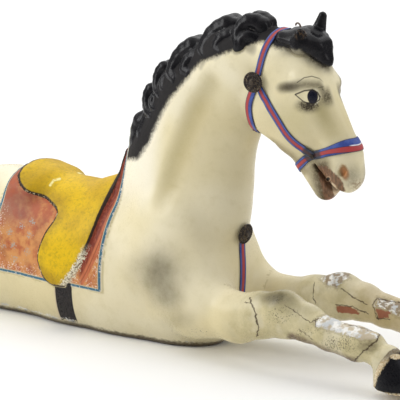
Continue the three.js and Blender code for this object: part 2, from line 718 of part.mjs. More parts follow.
// A dark button with a milled rim and a boss, its back on the given spot.
// One that leans to the front stands off on its rounded back, so that its edge clears the form.
function button(spot, level, diameter, height, notches, lean = 0) {
  const around = notches * 2;
  const standOff = (lean * diameter) / 2;
  const profile = [
    [0, (-0.8 * standOff) / height],
    [0.5, (-0.4 * standOff) / height],
    [0.94, 0],
    [1, 0.22],
    [0.95, 0.5],
    [0.66, 0.5],
    [0.6, 0.72],
    [0.36, 0.74],
    [0.26, 1],
    [0, 1],
  ].map(([r, h]) => new THREE.Vector2((r * diameter) / 2, h * height));
  const geometry = new THREE.LatheGeometry(profile, around);
  const position = geometry.attributes.position;
  for (let i = 0; i < position.count; i++) {
    const [x, y, z] = [position.getX(i), position.getY(i), position.getZ(i)];
    const r = Math.hypot(x, z);
    const edge = THREE.MathUtils.smoothstep(r, diameter * 0.4, diameter * 0.5);
    const notch = 1 - 0.07 * edge * (0.5 + 0.5 * Math.cos(Math.atan2(z, x) * notches));
    position.setXYZ(i, x * notch, y, z * notch);
  }
  const seat = settle(horse, spot.map((v) => v * SHARE), level + standOff, 8, 20);
  const normal = new THREE.Vector3(...slopeOf(horse, seat)).normalize();
  normal.x += lean;
  normal.normalize();
  const turn = new THREE.Quaternion().setFromUnitVectors(new THREE.Vector3(0, 1, 0), normal);
  geometry.applyQuaternion(turn).translate(...seat);
  return wholeSolid(geometry);
}

function wholeSolid(geometry) {
  const bare = geometry.clone();
  bare.deleteAttribute("normal");
  bare.deleteAttribute("uv");
  const merged = mergeVertices(bare, 1e-3);
  const index = merged.index.array;
  const faces = [];
  for (let i = 0; i < index.length; i += 3) {
    const f = [index[i], index[i + 1], index[i + 2]];
    if (new Set(f).size === 3) faces.push(f);
  }
  merged.setIndex(faces.flat());
  const solid = solidOf(merged);
  if (solid.volume() > 0) return solid;
  merged.setIndex(faces.map(flip).flat());
  return solidOf(merged);
}

// The bent wire that is left where the right ear broke off
function pin() {
  const r = PIN_DIAMETER / 2;
  const foot = settle(horse, [24.4, -4.9, 98].map((v) => v * SHARE), SEAT_GAP + r, 8, 20);
  const rings = [];
  const bends = 10;
  for (let i = 0; i <= bends; i++) {
    const turn = (i / bends) * Math.PI * 1.1;
    const bow = PIN_LENGTH / 3.2;
    const out = [Math.cos(turn), 0, Math.sin(turn)];
    const middle = [foot[0] - bow + bow * out[0], foot[1], foot[2] + bow * out[2] + i * 0.3];
    rings.push(
      Array.from({ length: 6 }, (_, k) => {
        const a = ((k + 0.5) / 6) * Math.PI * 2;
        return [
          middle[0] + r * Math.cos(a) * out[0],
          middle[1] + r * Math.sin(a),
          middle[2] + r * Math.cos(a) * out[2],
        ];
      }),
    );
  }
  return sweep(rings);
}

// Pieces
const material = (color, roughness, metalness = 0) =>
  new THREE.MeshStandardMaterial({ color, roughness, metalness });
const PAINT = material("#dcd5b4", 0.35);
const STRIPES = material("#3c4490", 0.8);
const DARK = material("#3a302a", 0.5, 0.4);
const WIRE = material("#6a6258", 0.5, 0.8);

const mirrored = (path) => path.map(([x, y, z]) => [x, -y, z]);
const overTop = (path) => [...path, ...mirrored(path.slice(0, -1)).reverse()];

const ROSETTE = [11, -8, 80];
const CROSSING = [28.9, -5.5, 60.9];
const BREAST = [-1, 0, 33.6];
const CROWN = overTop([
  [11.1, -8, 82],
  [12.4, -7.4, 87],
  [13.6, -4.6, 92.6],
  [14.4, 0, 94.6],
]);
const CHEEK = [[12, -8, 78.4], [17.5, -8, 71.6], [22.6, -7, 65.8], CROSSING];
const THROAT = overTop([
  [9.4, -8, 77.4],
  [7.2, -8, 71.5],
  [7.6, -5, 64.4],
  [8.4, 0, 61.5],
]);
const NOSE_HALF = [[41.2, 0, 65.6], [37, -4.4, 64.2], CROSSING, [24, -4.2, 58], [21.5, 0, 56.2]];
const NOSE = [...NOSE_HALF, ...mirrored(NOSE_HALF.slice(1, -1)).reverse()];
const BREASTBAND = [
  [-2, 0, 31.4],
  [-3, 0, 24],
  [-4, 0, 12],
];

const overTwo = SEAT_GAP + ribbonGap + 2 * layer; // on top of two ribbons
const rosette = (spot, level, lean) => button(spot, level, ROSETTE_DIAMETER, ROSETTE_HEIGHT, 14, lean);
const knot = (spot) => button(spot, overTwo, TACK_DIAMETER, TACK_HEIGHT, 4);
const LEAN = 0.28; // how much the head rosettes lean to the front

const pieces = [
  ["horse", carvedHorse(), PAINT],
  ["crownpiece", ribbon(CROWN), STRIPES],
  ["cheek_strap_right", ribbon(CHEEK, { startLift: 1, endLift: 1 }), STRIPES],
  ["cheek_strap_left", ribbon(mirrored(CHEEK), { startLift: 1, endLift: 1 }), STRIPES],
  ["throatlatch", ribbon(THROAT, { lean: 5 }), STRIPES],
  ["noseband", ribbon(NOSE, { closed: true, spread: NOSE_SPREAD }), STRIPES],
  ["breast_ribbon", ribbon(BREASTBAND), STRIPES],
  ["rosette_right", rosette(ROSETTE, overTwo, LEAN), DARK],
  ["rosette_left", rosette(mirrored([ROSETTE])[0], overTwo, LEAN), DARK],
  ["rosette_breast", rosette(BREAST, overTwo - 0.4 * layer, 0), DARK],
  ["knot_right", knot(CROSSING), DARK],
  ["knot_left", knot(mirrored([CROSSING])[0]), DARK],
  ["ear_pin", pin(), WIRE],
];

const figure = new THREE.Group();
const reach = pieces[0][1].boundingBox();
const middle = (reach.min[0] + reach.max[0]) / 2;
for (const [name, solid, finish] of pieces) {
  const mesh = new THREE.Mesh(geometryOfSolid(solid), finish);
  mesh.name = name;
  mesh.position.x = -middle;
  figure.add(mesh);
}

export default figure;
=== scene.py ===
# %% [markdown]
# # A painted carousel horse
# This lesson dresses a carved fairground horse. Its measured solids come first, as a fixed frame.
# Everything below stands in that frame: metres, +X where the horse looks, +Z up.

# %% The frame
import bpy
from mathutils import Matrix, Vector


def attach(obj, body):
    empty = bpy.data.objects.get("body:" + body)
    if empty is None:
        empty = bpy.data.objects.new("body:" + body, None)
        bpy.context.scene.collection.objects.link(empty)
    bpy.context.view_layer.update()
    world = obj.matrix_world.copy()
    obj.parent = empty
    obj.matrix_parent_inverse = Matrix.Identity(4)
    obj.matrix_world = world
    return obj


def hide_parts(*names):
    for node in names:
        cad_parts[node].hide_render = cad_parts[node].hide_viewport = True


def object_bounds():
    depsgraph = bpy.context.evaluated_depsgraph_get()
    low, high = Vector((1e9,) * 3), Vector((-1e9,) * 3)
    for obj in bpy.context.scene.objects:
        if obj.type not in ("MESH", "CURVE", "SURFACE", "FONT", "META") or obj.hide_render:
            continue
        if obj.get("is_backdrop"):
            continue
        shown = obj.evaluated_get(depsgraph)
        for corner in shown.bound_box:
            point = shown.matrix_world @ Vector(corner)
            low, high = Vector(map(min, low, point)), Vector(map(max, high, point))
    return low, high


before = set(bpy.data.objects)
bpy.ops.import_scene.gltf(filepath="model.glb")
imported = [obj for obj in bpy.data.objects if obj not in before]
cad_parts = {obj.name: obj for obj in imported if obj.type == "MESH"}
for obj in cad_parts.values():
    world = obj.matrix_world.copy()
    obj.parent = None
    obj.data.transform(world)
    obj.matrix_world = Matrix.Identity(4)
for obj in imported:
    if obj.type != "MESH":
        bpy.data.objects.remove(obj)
CAD_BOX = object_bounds()
print("nodes:", sorted(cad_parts))

# %% Tools and units
import math

import bpy
import numpy as np

SHARE = 0.006  # metres in a hundredth of the horse's height
BREAST_X = 0.25222  # where the front of the breast stands in the frame
MM = 1 / 6  # a millimetre, in hundredths of the height
print("one hundredth of the height is", SHARE * 1000, "mm")

# %% [markdown]
# ## Looking at the horse
# The horse is seen from its right front quarter, a little from above. It was seen from far away
# through a long lens, so near and far legs are almost the same size. A far camera with a long lens
# does the same here.

# %% The camera
AZIMUTH, ELEVATION = math.radians(40), math.radians(14)
MM_PER_PIXEL, PIXELS, FAR = 1.67, 400, 24.0
towards = np.array([
    math.sin(AZIMUTH) * math.cos(ELEVATION),
    -math.cos(AZIMUTH) * math.cos(ELEVATION),
    math.sin(ELEVATION),
])
right = np.array([math.cos(AZIMUTH), math.sin(AZIMUTH), 0.0])
upward = np.cross(towards, right)
LOOK_HEIGHT = 33.2
breast = np.array([BREAST_X, 0, LOOK_HEIGHT * SHARE])
looked_at = breast + (-44 * right + 34 * upward) * MM_PER_PIXEL / 1000

camera = bpy.data.objects.new("camera", bpy.data.cameras.new("camera"))
bpy.context.scene.collection.objects.link(camera)
camera.location = looked_at + FAR * towards
camera.rotation_euler = (math.pi / 2 - ELEVATION, 0, AZIMUTH)
camera.data.sensor_width = 36
camera.data.lens = 36 * FAR / (MM_PER_PIXEL * PIXELS / 1000)
camera.data.clip_end = 200
bpy.context.scene.camera = camera
print("lens", round(camera.data.lens), "mm")

# %% [markdown]
# ## The carving as muscles
# A carver roughs out a horse from rounded masses and blends one into the next. The same can be done
# with numbers. Each muscle is a tapered rod, and a smooth minimum of the distances to all of them
# gives one flowing skin. Sculpting by hand would work too, but then the size couldn't be trusted.

# %% Muscles
def muscle(start, r0, w0, end, r1, w1, blend):
    start, end = np.array(start, float), np.array(end, float)
    return {
        "a": start,
        "along": end - start,
        "r": (r0, r1),
        "w": (w0, w1),
        "blend": blend,
        "middle": (start + end) / 2,
        "reach": np.linalg.norm(end - start) / 2 + max(r0, r1, w0, w1) + blend,
    }


def chain(rows, blends):
    """Muscles from row to row, where a row is a place and two radii."""
    pairs = zip(rows, rows[1:], blends)
    return [muscle(a[:3], *a[3:], b[:3], *b[3:], blend) for a, b, blend in pairs]


def rod_frame(m, p):
    """Where points lie on a muscle: the offset from its axis and its radii there."""
    length2 = max(float(m["along"] @ m["along"]), 1e-6)
    t = np.clip((p - m["a"]) @ m["along"] / length2, 0, 1)
    offset = p - m["a"] - t[:, None] * m["along"]
    r = m["r"][0] + t * (m["r"][1] - m["r"][0])
    w = m["w"][0] + t * (m["w"][1] - m["w"][0])
    return offset, r, w, t


def outside(m, p):
    offset, r, w, _ = rod_frame(m, p)
    size = np.stack([r, w, r], 1)
    near = np.linalg.norm(offset / size, axis=1)
    slope = np.linalg.norm(offset / size**2, axis=1)
    return np.where(slope < 1e-9, -np.minimum(r, w), near * (near - 1) / np.maximum(slope, 1e-9))


def join(a, b, blend):
    h = np.maximum(blend - np.abs(a - b), 0) / max(blend, 1e-9)
    return np.minimum(a, b) - h * h * blend / 4


def join_all(d, muscles, p, distance=outside):
    for m in muscles:
        close = ((p - m["middle"]) ** 2).sum(1) < (m["reach"] + 4) ** 2
        if close.any():
            d[close] = join(d[close], distance(m, p[close]), m["blend"])
    return d


def join_group(d, muscles, p, distance=outside):
    """The same for muscles that lie together, worked out only for points near them."""
    centre = np.mean([m["middle"] for m in muscles], axis=0)
    reach = max(np.linalg.norm(m["middle"] - centre) + m["reach"] for m in muscles) + 4
    near = ((p - centre) ** 2).sum(1) < reach**2
    if near.any():
        d[near] = join_all(d[near], muscles, p[near], distance)
    return d


BALL = muscle([0, 0, 0], 2, 2, [0, 0, 0], 2, 2, 0)
print("a ball of radius 2 is", outside(BALL, np.array([[3.0, 0, 0]])), "away")

# %% Body, neck and head
TRUNK = chain([
    (-23.5, 0, 17.4, 22.4, 15), (-40, 0, 17.2, 22.3, 15.6), (-57, 0, 16.9, 21.2, 16),
    (-84, 0, 18.4, 21, 15.6), (-95, 0, 21, 16.5, 13),
], [0.1, 3, 3, 3])
TRUNK.append(muscle([-36, 0, 41], 5, 5, [-46, 0, 36.5], 4, 5, 5))
CANTLE = [muscle([-74.5, 0, 36.2], 4.8, 11, [-70.5, 0, 35.8], 4.2, 11, 4)]
NECK = chain([
    (-20.5, 0, 28, 19.4, 13.2), (-19.4, 0, 46.5, 19.8, 9.8), (-13.2, 0, 65.1, 17, 8.2),
    (-2.3, 0, 79, 13.4, 7.4), (10.9, 0, 84.5, 9.4, 6.6),
], [5, 5, 4, 4])
HEAD = [
    muscle([16.5, 0, 84], 9.4, 7.2, [21.5, 0, 82], 8.9, 7, 3),
    muscle([25.6, 0, 77.5], 6.8, 5.4, [34.5, 0, 62.5], 6.4, 4.3, 4),
    muscle([35.5, 0, 60], 6.2, 4.6, [36.3, 0, 57], 6.2, 4.8, 3),
    muscle([24, 0, 70], 6, 4.2, [31, 0, 60], 5, 3.8, 3),
    muscle([18.6, 0, 66.7], 6, 4.6, [29.5, 0, 51.4], 3.7, 3.3, 3),
    muscle([16.3, 3.4, 73], 11.2, 4.6, [21, 3.6, 69], 9, 4.2, 3),
    muscle([29.4, 3.6, 80.6], 1.9, 1.9, [24.4, 5.4, 82], 2, 1.8, 2),
    muscle([28.8, 3.9, 78], 2.1, 2.3, [27.9, 4.1, 78], 2.1, 2.3, 0.8),
    muscle([33.5, 2.4, 66], 1.5, 1.6, [26, 4.6, 71.5], 1.4, 1.4, 2),
]
MOUTH = [
    muscle([28.6, 0, 58.2], 0.5, 9, [33, 0, 53.4], 1.1, 9, 0.5),
    muscle([33, 0, 53.4], 1.1, 9, [38, 0, 48.6], 1.9, 9, 0.5),
]
NOSTRIL = muscle([39.2, 4.4, 58.8], 1.3, 1.2, [38.4, 4.2, 57.6], 1.2, 1.2, 0.8)
print(len(TRUNK + NECK + HEAD), "masses from nose to rump")

# %% Legs and hooves
SHOULDER = [
    muscle([-20, 9, 30], 12, 6, [-9, 11, 15], 9, 6, 6),
    muscle([-10, 5, 26], 6, 5.5, [-7, 7, 17], 5.8, 5.5, 4),
]
FORE, HIND = 72, 64  # how far the legs reach ahead of the breast and behind the hip
FORELEG = chain([
    (-8, 9.5, 13.4, 9.2, 6.5), (0.11 * FORE, 11.5, 12.7, 6.5, 5.6), (0.22 * FORE, 12, 14.9, 6.3, 5.2),
    (0.35 * FORE, 12.4, 16.7, 6.6, 5), (0.46 * FORE, 12.4, 15.6, 5.2, 4.3),
    (0.57 * FORE, 12.4, 13.6, 4.4, 3.8), (0.71 * FORE, 12.4, 12.6, 4.9, 4.3),
    (0.78 * FORE, 12.4, 12.6, 4.3, 4),
], [4, 3, 2, 1.5, 1.5, 1.5, 1])
FORELEG.append(muscle([0.76 * FORE, 12.4, 12.3], 3.4, 3.4, [0.85 * FORE, 12.4, 9.8], 4, 3.8, 1))
HIP = -92
HINDLEG = chain([
    (HIP, 9, 22, 13, 6.5), (HIP - 0.25 * HIND, 11.5, 16, 8, 5.5), (HIP - 0.44 * HIND, 12, 13.5, 5.4, 4.4),
    (HIP - 0.62 * HIND, 12, 9, 4.2, 3.8), (HIP - 0.7 * HIND, 12, 7.6, 4.6, 4.2),
], [5, 3, 1.5, 1.5])
HINDLEG.append(muscle([HIP - 0.7 * HIND, 12, 7.6], 4, 3.6, [HIP - 0.8 * HIND, 12, 6.2], 3.6, 3.4, 1.5))
FORE_HOOF_ROD = muscle([0.86 * FORE, 12.4, 9.6], 4.5, 4.3, [0.9 * FORE, 12.4, 3.6], 7.1, 5.7, 0.5)
HIND_HOOF_ROD = muscle([HIP - 0.8 * HIND, 12, 6.6], 3.8, 3.8, [HIP - 0.95 * HIND, 12, 5], 6, 5.4, 0.5)
FORE_HOOF = (FORE_HOOF_ROD, (0.78 * FORE, 2.8), (1.01 * FORE, 1.2))
HIND_HOOF = (HIND_HOOF_ROD, (HIP - 0.92 * HIND, 11.6), (HIP - HIND, 0))
LEFT_LIFT = 1.9  # the left foreleg is stretched out this much higher


def outside_hoof(hoof, p):
    """A hoof is a muscle cut off along its sole, which runs from heel to toe."""
    rod, (x0, z0), (x1, z1) = hoof
    size = math.hypot(x1 - x0, z1 - z0)
    sole = ((p[:, 0] - x0) * (z1 - z0) - (p[:, 2] - z0) * (x1 - x0)) / size
    return np.maximum(outside(rod, p), sole)


print(len(FORELEG), "masses in a foreleg and", len(HINDLEG), "in a hind leg")

# %% [markdown]
# ## Curves
# The mane follows the crest of the neck, and the ribbons follow paths over the head. A smooth curve
# through a few named points does both. Blender's curve objects could draw them as well, but here the
# points along them are needed as plain numbers.

# %% A smooth curve
def curve_steps(points, steps, closed=False):
    """A smooth curve through the given points, cut in so many steps between two of them."""
    p = np.array(points, float)
    p = np.vstack([p[-1], p, p[:2]]) if closed else np.vstack([2 * p[0] - p[1], p, 2 * p[-1] - p[-2]])
    made = []
    for a, b, c, d in zip(p, p[1:], p[2:], p[3:]):
        ta, tb, tc = (max(np.linalg.norm(v) ** 0.5, 1e-4) for v in (b - a, c - b, d - c))
        m1 = ((b - a) / ta - (c - a) / (ta + tb) + (c - b) / tb) * tb
        m2 = ((c - b) / tb - (d - b) / (tb + tc) + (d - c) / tc) * tb
        t = np.linspace(0, 1, steps, endpoint=False)[:, None]
        bend, twist = -3 * b + 3 * c - 2 * m1 - m2, 2 * b - 2 * c + m1 + m2
        made.append(b + m1 * t + bend * t**2 + twist * t**3)
    return np.vstack(made + [p[-2:-1]])


def smooth_curve(points, count, closed=False):
    """Points at even distances along such a curve."""
    dense = curve_steps(points, 24, closed)
    lengths = np.concatenate([[0], np.cumsum(np.linalg.norm(np.diff(dense, axis=0), axis=1))])
    wanted = np.linspace(0, lengths[-1], count, endpoint=not closed)
    return np.stack([np.interp(wanted, lengths, dense[:, k]) for k in range(3)], 1)


CREST = curve_steps([
    [10.2, 0, 92], [3, 0, 94.6], [-5, 0, 91.8], [-12, 0, 87.4], [-18.6, 0, 82.8],
    [-25, 0, 77.6], [-30, 0, 71], [-33.4, 0, 64], [-36, 0, 57], [-37.6, 0, 49],
], 20)
TAIL_LINE = smooth_curve([[-106, 0, 33], [-113, 0, 30], [-119, 0, 20], [-127, 0, 10], [-140, 0, 5]], 201)
print("crest from", CREST[0], "to", CREST[-1])

# %% [markdown]
# ## The mane
# The mane is cut in heavy locks. Each leaves the crest, swings out over the neck and ends in a
# point, in an S, and is scored with a gouge from end to end. The scores are part of the distance
# here, so they become real grooves in the mesh and catch the light.

# %% Locks of hair
def under_crest(t, depth, out):
    """A place below the crest, t along it from the poll to the withers, and out to the side."""
    k = min(max(t, 0), 1) * (len(CREST) - 1)
    i = min(int(k), len(CREST) - 2)
    point = CREST[i] + (k - i) * (CREST[i + 1] - CREST[i])
    along = CREST[i + 1] - CREST[i]
    along = along / np.linalg.norm(along)
    return np.array([point[0] - along[2] * depth, out, point[2] + along[0] * depth])


DIPS = [0, 0.155, 0.355, 0.555, 0.665, 0.775, 1]
THICK_LOCK = [
    (0.04, 1.8, 1, 2.1), (0.3, -0.4, 1.3, 3.1), (0.66, 0.2, 2, 3),
    (0.92, 2.8, 3.8, 2.5), (0.84, 5, 5.3, 1.9), (0.98, 7, 6.2, 1),
]
THIN_LOCK = [
    (0.1, 2.4, 2.8, 2.1), (0.38, 2.8, 4.2, 2.2), (0.52, 4.4, 5.2, 1.9), (0.42, 6, 5.9, 1.5),
    (0.56, 7.4, 6.3, 0.9),
]


def lock(shape, start, end):
    span = end - start
    size = min(max(span / 0.18, 0.65), 1.05)
    spots = [under_crest(start + far * span, depth - r * (1 - size), out) for far, depth, out, r in shape]
    steps = 2 * (len(shape) - 1)
    line = curve_steps(spots, 2)
    radii = np.interp(np.arange(steps + 1) / 2, np.arange(len(shape)), [size * row[3] for row in shape])
    ends = zip(line, radii, line[1:], radii[1:])
    return [muscle(a, r, 0.9 * r, b, q, 0.9 * q, 0.3) for a, r, b, q in ends]


def ridge(depth, out, r, w, count=10):
    spots = [under_crest(k / count, depth, out) for k in range(count + 1)]
    return [muscle(a, r, w, b, r, w, 1) for a, b in zip(spots, spots[1:])]


RIDGES = ridge(3.4, 0, 3, 3.8) + ridge(5, 3, 2.6, 2.8)
MANE = [lock(THIN_LOCK, *lump) + lock(THICK_LOCK, *lump) for lump in zip(DIPS, DIPS[1:])]
FORELOCK = [
    muscle([15, 0, 90.4], 3.2, 4.6, [22, 1.4, 92], 3.8, 3.4, 1.5),
    muscle([22, 1.4, 92], 3.8, 3.4, [27.2, 1.2, 91], 2.8, 2.8, 1.2),
    muscle([27.2, 1.2, 91], 2.8, 2.8, [30.6, 0, 86.8], 1.1, 1.2, 1.2),
    muscle([17, 3.4, 92.6], 2, 2.4, [25, 3, 92], 2.2, 2.4, 1.6),
    muscle([25, 3, 92], 2.2, 2.4, [29.6, 1.2, 87.6], 1.1, 1.1, 1.4),
]


def tail_size(k):
    return 1.2 + 3.4 * math.sin(math.pi * min(1, k + 0.12)) ** 0.8


TAIL_STEPS = 7
TAIL_SHARES = [k / TAIL_STEPS for k in range(TAIL_STEPS + 1)]
TAIL_ROWS = [(*TAIL_LINE[round(200 * k)], tail_size(k), tail_size(k)) for k in TAIL_SHARES]
TAIL = chain(TAIL_ROWS, [1] * TAIL_STEPS)
EAR = muscle([22, 5.4, 92.6], 2.5, 1.9, [23.6, 5.6, 98.1], 1.3, 1, 1.2)
EAR_STUB = muscle([23.4, 4.8, 91.4], 2.2, 2, [24.2, 4.9, 95], 1.6, 1.4, 1)

GROOVES, GROOVE_DEPTH = 1.5, 0.2


def scored(m, p):
    """The distance to a rod of hair with grooves that run along it."""
    offset, r, w, _ = rod_frame(m, p)
    along = m["along"] / np.linalg.norm(m["along"])
    across = np.cross(along, [0, 1, 0])
    turn = np.arctan2(offset @ across, offset[:, 1] + 1e-6)
    depth = GROOVE_DEPTH * np.minimum(r / 3, 1)
    return outside(m, p) + depth * (0.5 - 0.5 * np.cos(turn * GROOVES * 4))


print(sum(len(lump) for lump in MANE), "rods in the mane")

# %% [markdown]
# ## The saddle and its cloth
# Both are carved in the horse itself, a few millimetres proud of the flank. Their outlines are
# drawn from the side. The distance to an outline is also what the paint needs later, for a crisp
# edge and for the lines that follow it.

# %% Outlines seen from the side
CLOTH_FRONT, CLOTH_BACK, CLOTH_BOTTOM = -38.2, -78.6, 13.2
CLOTH_THICKNESS, SADDLE_THICKNESS = 3 * MM, 5 * MM


def outline(points):
    return smooth_curve([(x, 0, z) for x, z in points], 40)[:, [0, 2]]


SADDLE = np.vstack([
    outline([(-79, 52), (-76.2, 41.4), (-70.5, 36.8), (-62, 34.6), (-57.4, 32.4), (-59.6, 26.5),
             (-61, 20), (-58.6, 14.6), (-56, 12.4)]),
    outline([(-51.6, 12.6), (-46, 20), (-42.6, 29), (-41.7, 40), (-40, 52)]),
])


def inside_outline(points, x, z):
    """How far inside a closed outline points are; negative outside."""
    nearest = np.full(len(x), 1e9)
    inside = np.zeros(len(x), bool)
    for (x0, z0), (x1, z1) in zip(np.roll(points, 1, axis=0), points):
        dx, dz = x1 - x0, z1 - z0
        t = np.clip(((x - x0) * dx + (z - z0) * dz) / max(dx * dx + dz * dz, 1e-9), 0, 1)
        nearest = np.minimum(nearest, np.hypot(x - x0 - t * dx, z - z0 - t * dz))
        if dz:
            inside ^= ((z0 > z) != (z1 > z)) & (x < x0 + dx * (z - z0) / dz)
    return np.where(inside, nearest, -nearest)


def inside_cloth(x, z):
    return np.minimum(np.minimum(CLOTH_FRONT - x, x - CLOTH_BACK), z - CLOTH_BOTTOM)


def step(v, soft):
    t = np.clip((v + soft) / (2 * soft), 0, 1)
    return t * t * (3 - 2 * t)


print("saddle outline:", len(SADDLE), "points")

# %% A hollow along the neck
FOLD, FOLD_REACH, FOLD_DEPTH = [(-5, 77), (-11, 67), (-16, 54), (-19, 42)], 5, 3.5 * MM


def away_from(points, x, z):
    """The distance from places to a line through points, seen from the side."""
    nearest = np.full(len(x), 1e9)
    for (x0, z0), (x1, z1) in zip(points, points[1:]):
        dx, dz = x1 - x0, z1 - z0
        t = np.clip(((x - x0) * dx + (z - z0) * dz) / (dx * dx + dz * dz), 0, 1)
        nearest = np.minimum(nearest, np.hypot(x - x0 - t * dx, z - z0 - t * dz))
    return nearest


def ease(v):
    t = np.clip(v, 0, 1)
    return t * t * (3 - 2 * t)


print("at the fold:", away_from(FOLD, np.array([-11.0]), np.array([67.0])))

# %% [markdown]
# ## One skin
# The masses are joined in the order that a carver would take: body first, then what lies on it.

# %% The whole form
def horse(points, parts=False):
    """Distance from points to the horse, in hundredths. With parts, also body and hair apart."""
    p = points.copy()
    p[:, 1] = np.abs(p[:, 1])
    lifted = p.copy()
    lift = LEFT_LIFT * ease((p[:, 0] / FORE - 0.25) / 0.4)
    lifted[:, 2] -= np.where(points[:, 1] > 0, lift, 0)
    d = np.full(len(p), 1e3)
    for group in (TRUNK, NECK, SHOULDER):
        d = join_group(d, group, p)
    d += FOLD_DEPTH * (1 - ease(away_from(FOLD, p[:, 0], p[:, 2]) / FOLD_REACH))
    flank = (p[:, 0] < -36) & (p[:, 0] > -82) & (p[:, 2] > 10) & (np.abs(d) < 8)
    if flank.any():
        q, x, z = p[flank], p[flank, 0], p[flank, 2]
        proud = CLOTH_THICKNESS * step(inside_cloth(x, z), 0.25)
        proud += SADDLE_THICKNESS * step(inside_outline(SADDLE, x, z), 0.3)
        d[flank] = join_group(d[flank], CANTLE, q) - proud
    d = join_group(join_group(d, HINDLEG, p), HEAD, p)
    d = join_group(d, FORELEG, lifted)
    d = join(d, outside_hoof(FORE_HOOF, lifted), FORE_HOOF[0]["blend"])
    d = join(d, outside_hoof(HIND_HOOF, p), HIND_HOOF[0]["blend"])
    for m in MOUTH + [NOSTRIL]:
        d = -join(-d, outside(m, p), m["blend"])
    hair = join_group(np.full(len(p), 1e3), FORELOCK, p, scored)
    hair = join_group(hair, RIDGES, p)
    for lump in MANE:
        hair = join_group(hair, lump, p, scored)
    hair = join_group(hair, TAIL, p, scored)
    ears = np.where(points[:, 1] > 0, outside(EAR, p), outside(EAR_STUB, p))
    whole = join(join(d, hair, 0.3), ears, 1.0)
    return (whole, d, hair, ears) if parts else whole


print("distance at the breast:", horse(np.array([[0.0, 0, 33]])).round(2))

# %% [markdown]
# ## From distance to mesh
# A grid of points is laid through the horse, closer at the head, where the fine work is. Wherever
# the distance changes sign in a grid cell, one vertex is placed, and neighbouring vertices are
# joined into quads. That is called surface nets. It gives an even mesh with no seams, which metaballs
# and a voxel remesh would only give at one spacing everywhere.

# %% The grid
def spaced(*stops):
    """Grid lines through (position, spacing) stops; each spacing holds up to the next stop."""
    lines = [stops[0][0]]
    for (_, gap), (end, _) in zip(stops, stops[1:]):
        count = max(1, round((end - lines[-1]) / gap))
        lines += list(np.linspace(lines[-1], end, count + 1)[1:])
    return np.array(lines)


COARSE, FINE = ((0.94, 0.51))
GRID = [
    spaced((-158, COARSE), (-40, 0.8 * COARSE), (-37, FINE), (44, COARSE), (75, 0)),
    spaced((-19, 0.72 * COARSE), (-9.5, FINE * 1.1), (9.5, 0.72 * COARSE), (19, 0)),
    spaced((-0.9, 0.6), (0.9, COARSE), (46, FINE), (101, 0)),
]
print("grid", [len(g) for g in GRID])


def distances(grid):
    """The distance at every grid point, worked out only near the surface."""
    shape = tuple(len(g) for g in grid)
    coarse = [g[::4] for g in grid]
    points = np.stack(np.meshgrid(*coarse, indexing="ij"), -1).reshape(-1, 3)
    rough = horse(points).reshape([len(g) for g in coarse])
    for axis in range(3):
        rough = np.repeat(rough, 4, axis)
    rough = rough[: shape[0], : shape[1], : shape[2]]
    near = np.abs(rough) < 4.2 * COARSE * 1.8
    index = np.argwhere(near)
    values = rough.copy()
    values[near] = horse(np.stack([grid[k][index[:, k]] for k in range(3)], 1))
    return np.maximum(values, -grid[2][None, None, :])


# %% Surface nets
def surface_nets(values, grid):
    inside = values < 0
    cells = tuple(n - 1 for n in values.shape)
    corners = [(i, j, k) for i in (0, 1) for j in (0, 1) for k in (0, 1)]
    look = lambda a, c: a[c[0] : c[0] + cells[0], c[1] : c[1] + cells[1], c[2] : c[2] + cells[2]]
    count = sum(look(inside, c).astype(int) for c in corners)
    active = np.argwhere((count > 0) & (count < 8))
    number = np.full(cells, -1)
    number[tuple(active.T)] = np.arange(len(active))
    at = [values[tuple((active + c).T)] for c in corners]
    total, crossed = np.zeros((len(active), 3)), np.zeros(len(active))
    for m, a in enumerate(corners):
        for n, b in enumerate(corners):
            if n > m and sum(abs(s - t) for s, t in zip(a, b)) == 1:
                cut = (at[m] < 0) != (at[n] < 0)
                t = np.where(cut, at[m] / np.where(cut, at[m] - at[n], 1), 0)
                spot = np.array(a) + t[:, None] * (np.array(b) - np.array(a))
                total += np.where(cut[:, None], spot, 0)
                crossed += cut
    where = active + total / crossed[:, None]
    points = np.stack([np.interp(where[:, k], np.arange(len(g)), g) for k, g in enumerate(grid)], 1)
    quads = []
    for axis in range(3):
        u, v = (axis + 1) % 3, (axis + 2) % 3
        end = np.array(values.shape)
        end[axis] -= 1
        low = inside[: end[0], : end[1], : end[2]]
        shift = [slice(1, None) if k == axis else slice(None) for k in range(3)]
        edges = np.argwhere(low != inside[tuple(shift)])
        edges = edges[(edges[:, u] > 0) & (edges[:, v] > 0)]
        edges = edges[(edges[:, u] < cells[u]) & (edges[:, v] < cells[v])]
        step_u, step_v = np.eye(3, dtype=int)[u], np.eye(3, dtype=int)[v]
        ring = [edges - step_u - step_v, edges - step_v, edges, edges - step_u]
        faces = np.stack([number[tuple(r.T)] for r in ring], 1)
        outward = inside[tuple(edges.T)]
        quads.append(np.where(outward[:, None], faces, faces[:, ::-1]))
    return points, np.vstack(quads)


def slope(points, gap=0.06):
    """Which way the distance grows, and how hollow the surface is there."""
    here = horse(points)
    grows, bends = np.zeros_like(points), -6 * here
    for k in range(3):
        shift = np.zeros(3)
        shift[k] = gap
        ahead, behind = horse(points + shift), horse(points - shift)
        grows[:, k] = (ahead - behind) / (2 * gap)
        bends += ahead + behind
    return here, grows, bends / gap**2


def settle(points, level=0.0, turns=2, most=0.5):
    """Moves points along the slope to where the distance has the given level."""
    for _ in range(turns):
        here = horse(points)
        ahead = [horse(points + 0.06 * axis) for axis in np.eye(3)]
        grows = np.stack([(d - here) / 0.06 for d in ahead], 1)
        size = np.maximum((grows**2).sum(1), 0.09)
        points = points - grows * np.clip((here - level) / size, -most, most)[:, None]
    return points


